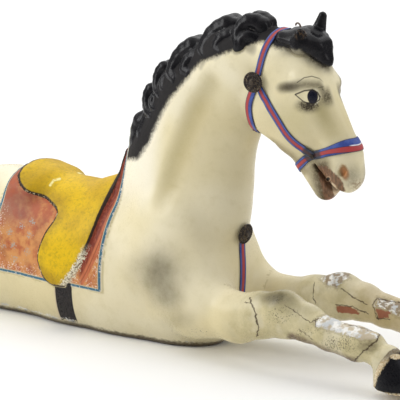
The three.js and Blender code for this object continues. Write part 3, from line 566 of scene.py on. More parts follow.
skin, quads = surface_nets(distances(GRID), GRID)
ground = skin[:, 2] < 0.12
skin[~ground] = settle(skin[~ground], most=0.3)
skin[ground, 2] = 0
low, high = (np.array(corner) / SHARE for corner in CAD_BOX)
shift = np.array([BREAST_X / SHARE, 0, 0])
skin = np.clip(skin, low - shift, high - shift)
print(len(skin), "points,", len(quads), "quads")

# %% [markdown]
# ## What the paint has to know
# Each vertex keeps a few numbers: how deep it lies in the hair, in the saddle's outline, in the
# cloth, in the mouth, and how hollow the surface is. A material compares such a number with zero and
# gets an edge that is much sharper than the mesh.

# %% Marks drawn from the front quarter
ACROSS_X, ACROSS_SIDE = 0.766, 0.643  # cosine and sine of the plane's turn, 40 degrees
UP_Z, UP_X, UP_SIDE = 0.97, 0.1555, 0.1853  # and of its tilt, 14 degrees, along z, x and y
DRAWN_FROM = LOOK_HEIGHT  # the height where the drawing has its zero


def seen_from_front(x, side, z):
    """Where a place falls on a plane that is turned to the front quarter."""
    return x * ACROSS_X - side * ACROSS_SIDE, (z - DRAWN_FROM) * UP_Z - x * UP_X - side * UP_SIDE


def marked(places, *outlines):
    return np.max([inside_outline(np.array(points), *places) for points in outlines], axis=0)


GAPE = [(20.2, 18.8), (22.8, 18.7), (25.6, 16.2), (26.8, 15), (27.9, 12), (26.4, 11.2), (25.8, 8.6),
        (23.9, 7.8), (22.2, 9.8), (21.3, 13.4), (20.6, 16.1)]
TONGUE = [(24, 14.6), (25, 13.8), (26.5, 11.5), (26.1, 10.4), (25.1, 10.1), (24.4, 12)]
HAIR = [(-60, 21.2), (-29.8, 21.2), (-27, 25.3), (-24.8, 30.3), (-22.8, 34.5), (-20.6, 38.1), (-17.3, 42),
        (-14.5, 45.6), (-12.2, 47.9), (-7.2, 49.8), (-0.6, 52), (5, 53.6), (8.9, 51.8), (15.6, 51.2),
        (18.9, 48.4), (21.7, 46.8), (24.2, 46.4), (40, 46.8), (40, 90), (-60, 90)]
SHIN = [(19.3, -24.2), (22.6, -22.4), (29.5, -24.4), (35.1, -26.2), (37.3, -27.6), (36.2, -28.7),
        (32.3, -28.9), (27.3, -27.3), (22.8, -26.2), (19.8, -25.2)]
KNEE = [(22.8, -10.9), (26.2, -10.4), (29.5, -10.6), (29.3, -12), (26.4, -13.6), (25.9, -15), (23.4, -14.2),
        (21.4, -12.5)]
FAR_SHIN = [(37.3, -17.8), (43.4, -19.2), (52, -22), (52, -27), (43.4, -22.9), (38.4, -20.3), (36.5, -19.8)]
PRIMER = [(25.6, -19.8), (29.5, -20.3), (32.6, -21.7), (31.7, -22.3), (25.9, -21.7)]
FAR_PRIMER = [(36.5, -20.6), (40.6, -21.7), (40.1, -23.1), (37.3, -23.4)]
print("marks with", len(GAPE + TONGUE + HAIR + SHIN + KNEE + FAR_SHIN + PRIMER + FAR_PRIMER), "corners")

# %% Numbers for the paint
def kept_numbers(points):
    _, body, hair, ears = horse(points, parts=True)
    _, _, hollow = slope(points, 0.35)
    x, y, z = points.T
    folded = points.copy()
    folded[:, 1] = np.abs(y)
    front, seen = seen_from_front(x, np.abs(y), z), seen_from_front(x, -y, z)
    bare = np.where(y < 0, marked(front, SHIN), np.maximum(marked(seen, KNEE) - 0.1, marked(seen, FAR_SHIN)))
    return {
        "hair": np.minimum(body, 1.5 * np.abs(body)) - np.minimum(hair, ears),
        "from_hair": np.clip(np.minimum(hair, ears), -1, 30),
        "dark": np.where(z > 36, np.clip(marked(front, HAIR), -20, 20), -20),
        "fold": np.clip(away_from(FOLD, x, z), 0, 12),
        "saddle": np.clip(inside_outline(SADDLE, x, z), -20, 20),
        "cloth": np.clip(inside_cloth(x, z), -20, 20),
        "mouth": np.clip(np.minimum(*(outside(m, folded) for m in MOUTH)), -2, 6),
        "gape": np.where(z > 40, np.clip(marked(front, GAPE), -6, 6), -6),
        "tongue": np.where(z > 40, np.clip(marked(front, TONGUE), -6, 6), -6),
        "bare": np.clip(bare, -6, 6),
        "primer": np.where(y < 0, -6, np.clip(marked(seen, PRIMER, FAR_PRIMER), -6, 6)),
        "hollow": np.clip(-hollow, -1.5, 1.5),
    }


def build(name, points, faces, numbers=None, smooth=True):
    """A mesh object from points in hundredths, faces, and numbers to keep on its points."""
    mesh = bpy.data.meshes.new(name)
    place = points * SHARE + np.array([BREAST_X, 0, 0])
    mesh.from_pydata(place.tolist(), [], [f for f in faces.tolist()])
    for key, values in (numbers or {}).items():
        kept = mesh.attributes.new(key, "FLOAT", "POINT")
        kept.data.foreach_set("value", np.asarray(values, np.float32))
    mesh.polygons.foreach_set("use_smooth", [smooth] * len(mesh.polygons))
    mesh.update()
    piece = bpy.data.objects.new(name, mesh)
    bpy.context.scene.collection.objects.link(piece)
    return piece


figure = build("carved_horse", skin, quads, kept_numbers(skin))
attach(figure, "root")
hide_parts("horse")
print("horse mesh", [round(v, 4) for v in figure.dimensions])

# %% [markdown]
# ## The ribbons
# The bridle is woven ribbon, pulled tight over the carving and pinned under the rosettes. Each
# ribbon follows a path over the skin at a small distance. It is made here rather than with a curve
# and a bevel, so that it hugs the form across its width and keeps one number, from edge to edge,
# for its stripes.

# %% Ribbon
RIBBON_WIDTH, RIBBON_THICKNESS, RIBBON_GAP, SEAT_GAP = 15 * MM, 1.1 * MM, 1.05 * MM, 0.4 * MM
LAYER, LIFT_LENGTH, RIBBON_STEP, RIBBON_LINES = 1.6 * MM, 26 * MM, 0.42, 9


def ribbon(name, path, closed=False, start_lift=0, end_lift=0, spread=0, lean=0, off=0):
    length = np.linalg.norm(np.diff(smooth_curve(path, 200, closed), axis=0), axis=1).sum()
    count = round(length / RIBBON_STEP)
    line = smooth_curve(path, count, closed)
    line = settle(line, SEAT_GAP, turns=6, most=3)
    before, after = np.roll(line, 1, axis=0), np.roll(line, -1, axis=0)
    if not closed:
        before[0], after[-1] = line[0], line[-1]
    along = after - before
    _, up, _ = slope(line)
    side = np.cross(along, up)
    side /= np.linalg.norm(side, axis=1)[:, None]
    far = np.arange(count) * length / count
    fall = lambda d: 1 - step(d / LIFT_LENGTH - 0.8, 0.2)
    base = RIBBON_GAP + LAYER * (start_lift * fall(far) + end_lift * fall(length - far))
    from_start = np.minimum(far, length - far) / LIFT_LENGTH
    half = (RIBBON_WIDTH + spread * (1 - ease((from_start - 0.4) / 2.2)))[:, None] / 2
    tipped = lean * np.sin(math.pi * far / length) ** 2 / 2
    across = np.linspace(-1, 1, RIBBON_LINES)
    sheet = []
    for k, a in enumerate(across):
        for top in (0, 1):
            level = base + top * RIBBON_THICKNESS * (1 - 0.5 * a**8) + tipped * (a + 1)
            points = settle(line + side * a * half, level, turns=4, most=1.5)
            sheet.append((top, k, points))
    bottom = [p for top, _, p in sheet if not top]
    upper = [p for top, _, p in sheet if top]
    ring = np.stack(bottom + upper[::-1], 1)
    numbers = np.tile(np.concatenate([across, across[::-1]]), count)
    distance = np.repeat(far, 2 * RIBBON_LINES)
    around = ring.shape[1]
    ids = np.arange(count * around).reshape(count, around)
    next_ids = np.roll(ids, -1, axis=0) if closed else ids[1:]
    this_ids = ids if closed else ids[:-1]
    faces = np.stack([
        this_ids, np.roll(this_ids, -1, axis=1), np.roll(next_ids, -1, axis=1), next_ids
    ], -1).reshape(-1, 4)
    if not closed:
        caps = []
        for row, flip in ((ids[0], True), (ids[-1], False)):
            for j in range(RIBBON_LINES - 1):
                cap = [row[j], row[j + 1], row[around - 2 - j], row[around - 1 - j]]
                caps.append(cap[::-1] if flip else cap)
        faces = np.vstack([faces, caps])
    middle = np.repeat(np.full(count, off) if lean else off * (1 - ease(from_start / 2.8)), 2 * RIBBON_LINES)
    kept = {"across": numbers, "along": distance, "middle": middle}
    piece = build(name + "_woven", ring.reshape(-1, 3), faces, kept)
    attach(piece, "root")
    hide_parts(name)
    print(name, round(length * SHARE * 1000), "mm")
    return piece


def mirrored(path):
    return [(x, -y, z) for x, y, z in path]


def over_top(path):
    return path + mirrored(path[:-1])[::-1]


# %% Ribbon paths
ROSETTE, CROSSING, BREAST = (11, -8, 80), (28.9, -5.5, 60.9), (-1, 0, 33.6)
CHEEK = [(12, -8, 78.4), (17.5, -8, 71.6), (22.6, -7, 65.8), CROSSING]
NOSE_HALF = [(41.2, 0, 65.6), (37, -4.4, 64.2), CROSSING, (24, -4.2, 58), (21.5, 0, 56.2)]
THROAT = over_top([(9.4, -8, 77.4), (7.2, -8, 71.5), (7.6, -5, 64.4), (8.4, 0, 61.5)])
ribbons = [
    ribbon("crownpiece", over_top([(11.1, -8, 82), (12.4, -7.4, 87), (13.6, -4.6, 92.6), (14.4, 0, 94.6)])),
    ribbon("cheek_strap_right", CHEEK, start_lift=1, end_lift=1),
    ribbon("cheek_strap_left", mirrored(CHEEK), start_lift=1, end_lift=1),
    ribbon("throatlatch", THROAT, lean=5 * MM, off=0.45),
    ribbon("noseband", NOSE_HALF + mirrored(NOSE_HALF[1:-1])[::-1], closed=True, spread=9 * MM, off=-0.6),
    ribbon("breast_ribbon", [(-2, 0, 31.4), (-3, 0, 24), (-4, 0, 12)]),
]

# %% [markdown]
# ## Rosettes and knots
# The rosettes are pressed metal studs gone dark: a rim milled like a coin's edge, a sunken ring
# and a boss. One function turns a profile around an axis and lets the rim ripple, which is
# easier to control than a spun curve with a second modifier for the milling.

# %% Studs
def stud(name, node, spot, level, diameter, height, beads, lean=0.0, spokes=120):
    off = lean * diameter / 2
    profile = [(0, -0.8 * off / height), (0.5, -0.4 * off / height), (0.92, 0), (1, 0.24), (0.97, 0.44),
               (0.9, 0.54), (0.82, 0.48), (0.76, 0.36), (0.7, 0.4), (0.62, 0.58), (0.55, 0.64),
               (0.48, 0.58), (0.4, 0.46), (0.34, 0.52), (0.26, 0.84), (0.18, 0.96), (0.1, 1), (0, 1)]
    turn = np.linspace(0, 2 * math.pi, spokes, endpoint=False)
    seat = settle(np.array([spot], float), level + off, turns=8, most=3)
    _, normal, _ = slope(seat)
    normal = normal[0] / np.linalg.norm(normal[0]) + np.array([lean, 0, 0])
    normal /= np.linalg.norm(normal)
    first = np.cross(normal, [0, 0, 1.0])
    first /= np.linalg.norm(first)
    second = np.cross(normal, first)
    rings = []
    for r, h in profile:
        rim, inner = (math.exp(-(((r - middle) / 0.1) ** 2)) for middle in (0.92, 0.56))
        ripple = rim * np.cos(turn * beads) + inner * np.cos(turn * beads * 0.6)
        out = r * diameter / 2 * (1 - 0.02 * rim * (1 + np.cos(turn * beads)))
        rise = h * height * (1 - 0.2 * (rim + inner - ripple))
        flat = np.cos(turn)[:, None] * first + np.sin(turn)[:, None] * second
        rings.append(seat[0] + out[:, None] * flat + rise[:, None] * normal)
    points = np.vstack(rings)
    faces = []
    for i in range(len(profile) - 1):
        for j in range(spokes):
            k = (j + 1) % spokes
            faces.append([i * spokes + j, i * spokes + k, (i + 1) * spokes + k, (i + 1) * spokes + j])
    rim = np.repeat([r for r, _ in profile], spokes)
    piece = build(name, points, np.array(faces), {"rim": rim, "turn": np.tile(turn, len(profile))})
    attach(piece, "root")
    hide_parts(node)
    return piece


ABOVE_TWO = SEAT_GAP + RIBBON_GAP + 2 * LAYER
ACROSS, TALL, LEAN = 36 * MM, 7.8 * MM, 0.28
LEFT_ROSETTE, LEFT_CROSSING = mirrored([ROSETTE, CROSSING])
studs = [
    stud("rosette_right_stud", "rosette_right", ROSETTE, ABOVE_TWO, ACROSS, TALL, 30, LEAN),
    stud("rosette_left_stud", "rosette_left", LEFT_ROSETTE, ABOVE_TWO, ACROSS, TALL, 30, LEAN),
    stud("rosette_breast_stud", "rosette_breast", BREAST, ABOVE_TWO - 0.4 * LAYER, ACROSS, TALL, 30),
    stud("knot_right_stud", "knot_right", CROSSING, ABOVE_TWO, 9 * MM, 3 * MM, 5, spokes=40),
    stud("knot_left_stud", "knot_left", LEFT_CROSSING, ABOVE_TWO, 9 * MM, 3 * MM, 5, spokes=40),
]
print(len(studs), "studs")

# %% [markdown]
# ## Shader sums
# A material is a sum of masks: here is hair, here is cloth, here the paint is gone. Written as
# plain Python sums they stay readable. The class below wraps a socket, so that + - * / between
# sockets and numbers adds the Math nodes.

# %% Sockets that add up
class Socket:
    def __init__(self, paint, output):
        self.paint, self.output = paint, output

    def math(self, operation, *others):
        return self.paint.node("ShaderNodeMath", {"operation": operation}, dict(enumerate((self, *others))))

    def turned(self, operation, other):
        return self.paint.node("ShaderNodeMath", {"operation": operation}, {0: other, 1: self})

    def __add__(self, other):
        return self.math("ADD", other)

    def __sub__(self, other):
        return self.math("SUBTRACT", other)

    def __mul__(self, other):
        return self.math("MULTIPLY", other)

    def __truediv__(self, other):
        return self.math("DIVIDE", other)

    def __rsub__(self, other):
        return self.turned("SUBTRACT", other)

    __radd__, __rmul__ = __add__, __mul__

    def __abs__(self):
        return self.math("ABSOLUTE")

    def __or__(self, other):
        """Where either of two masks is."""
        return self.math("MAXIMUM", other)

    def fade(self, start, end, low=0.0, high=1.0):
        """Goes softly from low to high as the value goes from start to end."""
        settings = {"interpolation_type": "SMOOTHSTEP", "clamp": True}
        return self.paint.node("ShaderNodeMapRange", settings, {0: self, 1: start, 2: end, 3: low, 4: high})


class Paint:
    """A material that is built up node by node."""

    def __init__(self, name):
        self.material = bpy.data.materials.new(name)
        self.material.use_nodes = True
        self.tree = self.material.node_tree
        self.tree.nodes.clear()

    def node(self, kind, settings=None, inputs=None, output=0):
        """A node with its settings and inputs; what comes back is one of its outputs, if it has any."""
        made = self.tree.nodes.new(kind)
        for key, value in (settings or {}).items():
            setattr(made, key, value)
        for key, value in (inputs or {}).items():
            if isinstance(value, Socket):
                self.tree.links.new(value.output, made.inputs[key])
            else:
                made.inputs[key].default_value = value
        return Socket(self, made.outputs[output]) if made.outputs else None

    def mix(self, a, b, factor):
        """Colour a where the factor is 0 and b where it is 1."""
        a, b = (c if isinstance(c, Socket) else colour(*c) for c in (a, b))
        settings = {"data_type": "RGBA", "clamp_factor": True}
        return self.node("ShaderNodeMix", settings, {0: factor, 6: a, 7: b}, output=2)

    def number(self, name):
        return self.node("ShaderNodeAttribute", {"attribute_name": name}, output=2)

    def noise(self, place, scale, detail=3.0, rough=0.55, distortion=0.0):
        inputs = {"Vector": place, "Scale": scale, "Detail": detail, "Roughness": rough,
                  "Distortion": distortion}
        return self.node("ShaderNodeTexNoise", {"normalize": True}, inputs)

    def vector(self, operation, a, b=None, output=0):
        inputs = {0: a} if b is None else {0: a, 1: b}
        return self.node("ShaderNodeVectorMath", {"operation": operation}, inputs, output)

    def finish(self, colour, roughness, bump=None, strength=0.5, depth=0.001, metallic=0.0, **constant):
        inputs = {"Base Color": colour, "Roughness": roughness, "Metallic": metallic, **constant}
        if bump is not None:
            made = {"Height": bump, "Strength": strength, "Distance": depth}
            inputs["Normal"] = self.node("ShaderNodeBump", {}, made)
        shader = self.node("ShaderNodeBsdfPrincipled", {}, inputs)
        self.node("ShaderNodeOutputMaterial", {}, {0: shader})
        return self.material


def colour(red, green, blue):
    """A colour as it looks, from 0 to 255, turned into light."""
    shares = [c / 255 for c in (red, green, blue)]
    return (*(c / 12.92 if c <= 0.04 else ((c + 0.055) / 1.055) ** 2.4 for c in shares), 1.0)


print("cream is", [round(c, 2) for c in colour(235, 225, 200)])

# %% [markdown]
# ## Where things are painted
# Most of the paint is placed in the horse's own measure, in hundredths of its height from the
# breast. Left and right are folded together, so both sides get the same brushwork. The face and the
# cracks are drawn on a plane that is turned to the front quarter, as a painter would stand.

# %% Places
class Places:
    def __init__(self, paint):
        self.paint = paint
        raw = paint.node("ShaderNodeTexCoord", output=3)
        moved = paint.vector("SUBTRACT", raw, (BREAST_X, 0, 0))
        self.whole = paint.vector("DIVIDE", moved, (SHARE, SHARE, SHARE))
        split = "ShaderNodeSeparateXYZ"
        self.x, self.y, self.z = (paint.node(split, {}, {0: self.whole}, output=k) for k in range(3))
        self.side = abs(self.y)
        self.mirror = self.join(self.x, self.side, self.z)
        self.ahead, self.height = seen_from_front(self.x, self.side, self.z)
        self.drawing = self.join(self.ahead, 0.0, self.height)
        ahead, height = seen_from_front(self.x, self.y * -1.0, self.z)
        self.seen = self.join(ahead, 0.0, height)

    def join(self, x, y, z):
        return self.paint.node("ShaderNodeCombineXYZ", {}, {0: x, 1: y, 2: z})

    def away(self, centre, size=(1, 1, 1), place=None):
        """How far a place is from a centre, counted in sizes."""
        moved = self.paint.vector("SUBTRACT", place or self.mirror, centre)
        return self.paint.vector("LENGTH", self.paint.vector("DIVIDE", moved, size), output=1)

    def oval(self, across, up, wide, high):
        """The same for an oval that is drawn on the front quarter plane."""
        return self.away((across, 0, up), (wide, 1, high), self.drawing)

    def stroke(self, points, place=None):
        """How far a place is from a drawn line, on the front quarter plane."""
        place = place or self.drawing
        nearest = None
        for (x0, z0), (x1, z1) in zip(points, points[1:]):
            dx, dz = x1 - x0, z1 - z0
            moved = self.paint.vector("SUBTRACT", place, (x0, 0, z0))
            t = self.paint.vector("DOT_PRODUCT", moved, (dx, 0, dz), output=1) / (dx * dx + dz * dz)
            t = (t | 0.0).math("MINIMUM", 1.0)
            on_line = self.join(t * dx, 0.0, t * dz)
            away = self.paint.vector("DISTANCE", moved, on_line, output=1)
            nearest = away if nearest is None else nearest.math("MINIMUM", away)
        return nearest


# %% [markdown]
# ## The horse's paint
# Old fairground paint is built up in layers: a white ground, cream paint, soft sprayed dapples, then
# the black, yellow and red of hair and harness, and varnish that has turned olive. Each layer is
# mixed over the last with its own mask, and the wear comes at the end and takes layers off again.

# %% Body colour
horse_paint = Paint("horse_paint")
at = Places(horse_paint)
mix, noise, number = horse_paint.mix, horse_paint.noise, horse_paint.number

wide = noise(at.whole, 0.035, 2.0)
patch = noise(at.whole, 0.3, 5.0, 0.6)
fine = noise(at.whole, 2.2, 5.0, 0.65)
grit = noise(at.whole, 1.1, 6.0, 0.7, 0.6)
hollow, hair, from_hair, dark = number("hollow"), number("hair"), number("from_hair"), number("dark")
saddle, cloth, fold = number("saddle"), number("cloth"), number("fold")
right_side, left_side = at.y.fade(0.2, -0.2), at.y.fade(-0.2, 0.2)

body = mix((243, 235, 208), (232, 220, 180), wide.fade(0.35, 0.65))
body = mix(body, (204, 192, 146), patch.fade(0.45, 0.85, 0, 0.35))
# Painted shade in the carved fold down the neck, and over the front of the neck and chest.
body = mix(body, (168, 154, 104), fold.fade(6, 0.5, 0, 0.56) * at.z.fade(34, 50))
body = mix(body, (186, 170, 122), at.x.fade(-22, -8, 0, 0.36) * at.z.fade(24, 34) * at.z.fade(82, 66))
body = mix(body, (178, 164, 114), at.z.fade(24, 1, 0, 0.34) + hollow.fade(0.05, 0.9, 0, 0.45))
# Painted light on the back of the neck below the mane, behind the fold.
body = mix(body, (252, 246, 228), at.x.fade(-19, -27, 0, 0.66) * at.z.fade(34, 46) * fold.fade(3, 6))
body = mix(body, (220, 202, 148), at.z.fade(42, 26, 0, 0.24) * at.z.fade(4, 12))
legs = at.x.fade(4, 18) * at.z.fade(40, 34)
body = mix(body, (172, 163, 122), legs * patch.fade(0.25, 0.75, 0.25, 0.62))
body = mix(body, (128, 118, 82), legs * grit.fade(0.4, 0.85, 0, 0.5) * at.z.fade(22, 8))
body = mix(body, (232, 224, 200), legs * noise(at.whole, 0.12, 2.0).fade(0.52, 0.36, 0, 0.36))
body = mix(body, (170, 142, 92), legs * left_side * at.x.fade(22, 44, 0, 0.42))

DAPPLES = [
    ((-23.4, -11.2), (11.5, 12.5), 0.6), ((-24, -10.8), (6.4, 8), 0.42), ((-21, -18), (6.4, 5.8), 0.48),
    ((-18.6, -23.6), (6.8, 4.6), 0.36), ((-30.5, -9), (5, 6), 0.14),
    ((9.2, -17.4), (8, 4), 0.85), ((8, -18), (3.8, 2.2), 0.42), ((14, -20.5), (7, 3.6), 0.28),
]
for (across, up), (wide_r, high_r), strength in DAPPLES:
    soft = at.oval(across, up, wide_r, high_r).fade(1.05, 0.0, 0, strength)
    soft = soft * right_side if across > 0 else soft
    body = mix(body, (84, 77, 54), soft * at.side.fade(4, 9) * patch.fade(0.1, 0.8, 0.8, 1.1))
for centre in ((-93, 14, 25), (-112, 14, 17)):
    body = mix(body, (92, 84, 56), at.away(centre, (8, 9, 7)).fade(1.1, 0.1, 0, 0.5))
print(len(DAPPLES), "dapples on each side")

# %% Face
around_eye = at.away((27, 5, 78), (12, 9, 16)).fade(1.0, 0.9)
plainer_left = right_side | at.z.fade(80.8, 80.3)
FACE = around_eye * at.side.fade(3.0, 4.2)
# Painted shade down the side of the nose, beside the lit ridge.
nose_side = at.stroke([(21.8, 34), (23.6, 30), (26.6, 23)]).fade(5.0, 0.2, 0, 0.72)
nose_side = nose_side * at.z.fade(62, 74) * at.x.fade(18, 21) * at.side.fade(1.4, 4.8)
body = mix(body, (158, 146, 100), nose_side)
cheek = at.oval(12.5, 31, 8, 7).fade(1.1, 0.1, 0, 0.34)
body = mix(body, (184, 174, 124), cheek * FACE)
lid_shade = at.stroke([(10.4, 40.4), (13.5, 41), (17, 41.3), (20.5, 41.1), (22.9, 39.4)])
body = mix(body, (80, 72, 50), lid_shade.fade(2.3, 0.0, 0, 0.74) * FACE * grit.fade(0.2, 0.6, 0.7, 1.0))
brow_end = at.oval(12.4, 40.6, 4.2, 2.1).fade(1.0, 0.1, 0, 0.8)
body = mix(body, (70, 62, 46), brow_end * FACE)
corner_shade = at.oval(22.9, 38, 3.4, 4).fade(1.0, 0.1, 0, 0.84)
corner_shade = corner_shade * around_eye * at.side.fade(0.8, 2.2) * fine.fade(0.25, 0.6, 0.6, 1.1)
body = mix(body, (72, 64, 48), corner_shade)
under_shade = at.oval(17.6, 35.5, 4.8, 2.9).fade(1.0, 0.0, 0, 1.1)
body = mix(body, (64, 56, 44), under_shade * FACE * fine.fade(0.3, 0.6, 0.6, 1.25))

white = at.oval(17, 37.9, 2.5, 1.5)
body = mix(body, (224, 214, 176), white.fade(1.0, 0.9) * FACE)
iris = at.oval(18.84, 37.99, 1.46, 1.92)
ring = abs(iris - 1.22).fade(0.16, 0.04) * at.ahead.fade(19.2, 19.9)
body = mix(body, (206, 200, 176), ring * FACE * 0.85)
body = mix(body, mix((30, 28, 40), (14, 16, 32), iris.fade(0.8, 0.5)), iris.fade(1.06, 0.96) * FACE)
LINES = [
    ([(14.1, 38.6), (16.5, 39.6), (18.8, 39.9), (20.2, 39.1), (20.8, 38)], 0.2, 0.9),
    ([(14.1, 38.5), (16.1, 36.8), (17.7, 36.1), (19.3, 36.1), (20.7, 37.1), (20.9, 38)], 0.15, 0.85),
    ([(14.6, 41.9), (16.5, 43.2), (18.6, 43.6), (20.7, 43), (22.5, 41.5), (23.2, 40.8)], 0.14, 0.7),
    ([(16, 36.8), (15.6, 35.8)], 0.13, 0.6), ([(17.3, 36.1), (17.1, 35.1)], 0.13, 0.6),
    ([(18.6, 36), (18.8, 35)], 0.13, 0.6), ([(19.8, 36.2), (20.4, 35.3)], 0.13, 0.6),
    ([(21.6, 40), (22.6, 39.2), (22, 38), (23.2, 36.9)], 0.16, 0.6),
    ([(22.9, 40.2), (24, 39), (23.6, 37.4)], 0.14, 0.5), ([(20.4, 40.4), (21.8, 40.7)], 0.16, 0.5),
]
for points, width, strength in LINES:
    line = at.stroke(points).fade(width * 1.6, width * 0.5, 0, strength)
    body = mix(body, (44, 38, 36), line * FACE * plainer_left)
print(len(LINES), "brush lines round each eye")

# %% Nose and mouth
MUZZLE = at.z.fade(45, 47) * at.x.fade(24, 26)
gape, tongue, mouth = number("gape"), number("tongue"), number("mouth")
side_grey = at.oval(29.8, 16, 4.6, 4.8).fade(1.0, 0.0, 0, 0.52)
side_grey = side_grey * grit.fade(0.25, 0.6, 0.5, 1.1)
body = mix(body, (110, 104, 88), side_grey * MUZZLE)
jaw_shade = gape.fade(-4.2, 0.0, 0, 0.92) * at.ahead.fade(25, 22)
body = mix(body, (92, 78, 54), jaw_shade * MUZZLE * grit.fade(0.2, 0.6, 0.7, 1.1))
# Painted shade along the lower edge of the jaw.
jaw_edge = at.stroke([(4.5, 26.6), (9, 24.4), (13, 21.4), (16.6, 17.4)]).fade(2.2, 0.0, 0, 0.6)
body = mix(body, (112, 96, 68), jaw_edge * at.x.fade(12, 15) * at.z.fade(52, 54))
under_nose = at.oval(32, 13.4, 4.4, 2.6).fade(1.0, 0.2) * grit.fade(0.42, 0.62, 0, 0.75)
body = mix(body, (132, 102, 72), under_nose * MUZZLE)
leaning = at.join(at.ahead - 27.6, 0.0, at.height - 17.1 + (at.ahead - 27.6) * 0.45)
nostril = horse_paint.vector("LENGTH", horse_paint.vector("DIVIDE", leaning, (1.16, 1, 1.75)), output=1)
nostril = nostril + (grit - 0.5) * 0.9
body = mix(body, (150, 104, 64), nostril.fade(1.45, 0.75, 0, 0.85) * MUZZLE)
body = mix(body, (196, 134, 84), nostril.fade(0.85, 0.25, 0, 0.85) * MUZZLE)
streaks = noise(at.join(at.ahead, 0.0, at.height * 0.35), 1.8, 4.0, 0.6)
brown = mix((92, 68, 50), (136, 98, 72), streaks.fade(0.35, 0.65))
body = mix(body, brown, (gape + grit * 1.2 - 0.6).fade(-0.35, 0.3, 0, 0.94) * MUZZLE)
body = mix(body, (60, 40, 32), mouth.fade(0.4, -0.2, 0, 0.4) * MUZZLE)
body = mix(body, (214, 192, 160), (tongue + grit * 0.6 - 0.3).fade(-0.1, 0.25) * MUZZLE)
red_lip = at.oval(24.4, 8.8, 1.7, 1.7).fade(1.0, 0.5, 0, 0.7)
body = mix(body, (170, 100, 80), red_lip * MUZZLE)
# The hole at the corner of the mouth is not carved: a pale painted ring with painted shade for the dark
# inside.
hole = at.oval(23.16, 15.25, 0.55, 0.6)
body = mix(body, (170, 140, 112), hole.fade(1.5, 1.2, 0, 0.8) * MUZZLE)
body = mix(body, (16, 12, 12), hole.fade(0.95, 0.7) * MUZZLE)
print("face done")

# %% Hair
# Dust and painted sheen: the black is lighter on its raised ridges.
dust_and_sheen = patch.fade(0.3, 0.7) * hollow.fade(0.2, -0.7, 0.3, 1.0)
dusty = (dark + (grit - 0.5) * 2.4).fade(-1.3, 0.5)
dusty = dusty | from_hair.fade(1.1, 0.1, 0, 0.5)
# Painted shade under the lower edge of the forelock.
forelock_shade = dark.fade(-3.4, -0.4, 0, 0.55) * at.x.fade(16, 21) * patch.fade(0.2, 0.7, 0.5, 1.2)
body = mix(body, (74, 68, 62), forelock_shade)
body = mix(body, mix((14, 14, 16), (40, 36, 35), grit), dusty)
black = mix((13, 13, 17), (34, 32, 34), dust_and_sheen)
# Pale grit on the black: dust, and painted highlights.
black = mix(black, (104, 96, 88), (grit + hollow * 0.2 - 0.1).fade(0.7, 0.8, 0, 0.5))
hair_mask = (hair + patch * 0.3 - 0.15).fade(-0.08, 0.12)
painted = (dark + (grit - 0.5) * 1.6).fade(-0.9, 0.3) | at.x.fade(14, 12)
hair_mask = hair_mask * painted
body = mix(body, black, hair_mask)
stub = at.away((24.2, -4.9, 96), (2.6, 2.6, 3.4), at.whole).fade(1.0, 0.7) * grit.fade(0.5, 0.6)
body = mix(body, (98, 78, 58), stub * 0.7)

# %% Hooves
hoof_edge = at.x - at.z * 0.47 + (patch - 0.5) * 1.6
fore_hoof = hoof_edge.fade(57.7, 58.1) * at.z.fade(30, 29)
hind_hoof = (at.x + patch * 2.0).fade(-145.2, -145.8)
hooves = fore_hoof | hind_hoof
band = (hoof_edge + (grit - 0.5) * 3.4).fade(60.0, 59.3) * at.z.fade(12.5, 9.5, 0.35, 1.0)
chip = at.oval(41.6, -33.6, 1.7, 0.9) + (grit - 0.5) * 1.6
band = band | chip.fade(1.0, 0.8) | at.z.fade(2.6, 2.0) * grit.fade(0.4, 0.5)
shell = mix((16, 16, 20), (38, 34, 34), grit.fade(0.5, 0.8))
shell = mix(shell, mix((196, 170, 128), (226, 214, 184), fine.fade(0.4, 0.6)), band * fore_hoof)
body = mix(body, shell, hooves)
print("black done")

# %% Saddle cloth
red = mix((178, 96, 62), (208, 146, 88), (patch + at.z.fade(46, 14, -0.12, 0.1)).fade(0.36, 0.66))
red = mix(red, (138, 66, 50), noise(at.whole, 0.12, 4.0).fade(0.48, 0.68, 0, 0.6))
red = mix(red, (196, 168, 112), grit.fade(0.55, 0.72, 0, 0.6) * patch.fade(0.4, 0.6))
red = mix(red, (112, 92, 80), fine.fade(0.58, 0.74, 0, 0.7))
purple = at.away((-76, 10, 32), (13, 12, 9)).fade(1.1, 0.2, 0, 0.6)
red = mix(red, (132, 88, 88), purple * patch.fade(0.2, 0.6))
STARS = [(-62.3, 2.5), (-65.7, 0.5), (-60.1, -0.4), (-64.6, -3.1), (-61, -5), (-64.3, -7.2), (-67.6, -3.4),
         (-59.4, 3.4)]
stars = None
for across, up in STARS:
    star = at.oval(across, up, 1.5, 1.7)
    stars = star if stars is None else stars.math("MINIMUM", star)
dabs = stars.fade(1.35, 0.2, 0, 0.6) + (fine - 0.5) * 2.6
red = mix(red, (160, 166, 160), dabs.fade(0.5, 0.8, 0, 0.8))
specks = (fine + cloth.fade(9, 0.5, 0, 0.2)).fade(0.74, 0.78, 0, 0.9) * at.z.fade(34, 28)
red = mix(red, (232, 218, 204), specks)
strip = at.x.fade(-47, -45)
grain = noise(at.join(at.x * 2.4, at.side * 2.4, at.z * 0.3), 0.8, 4.0)
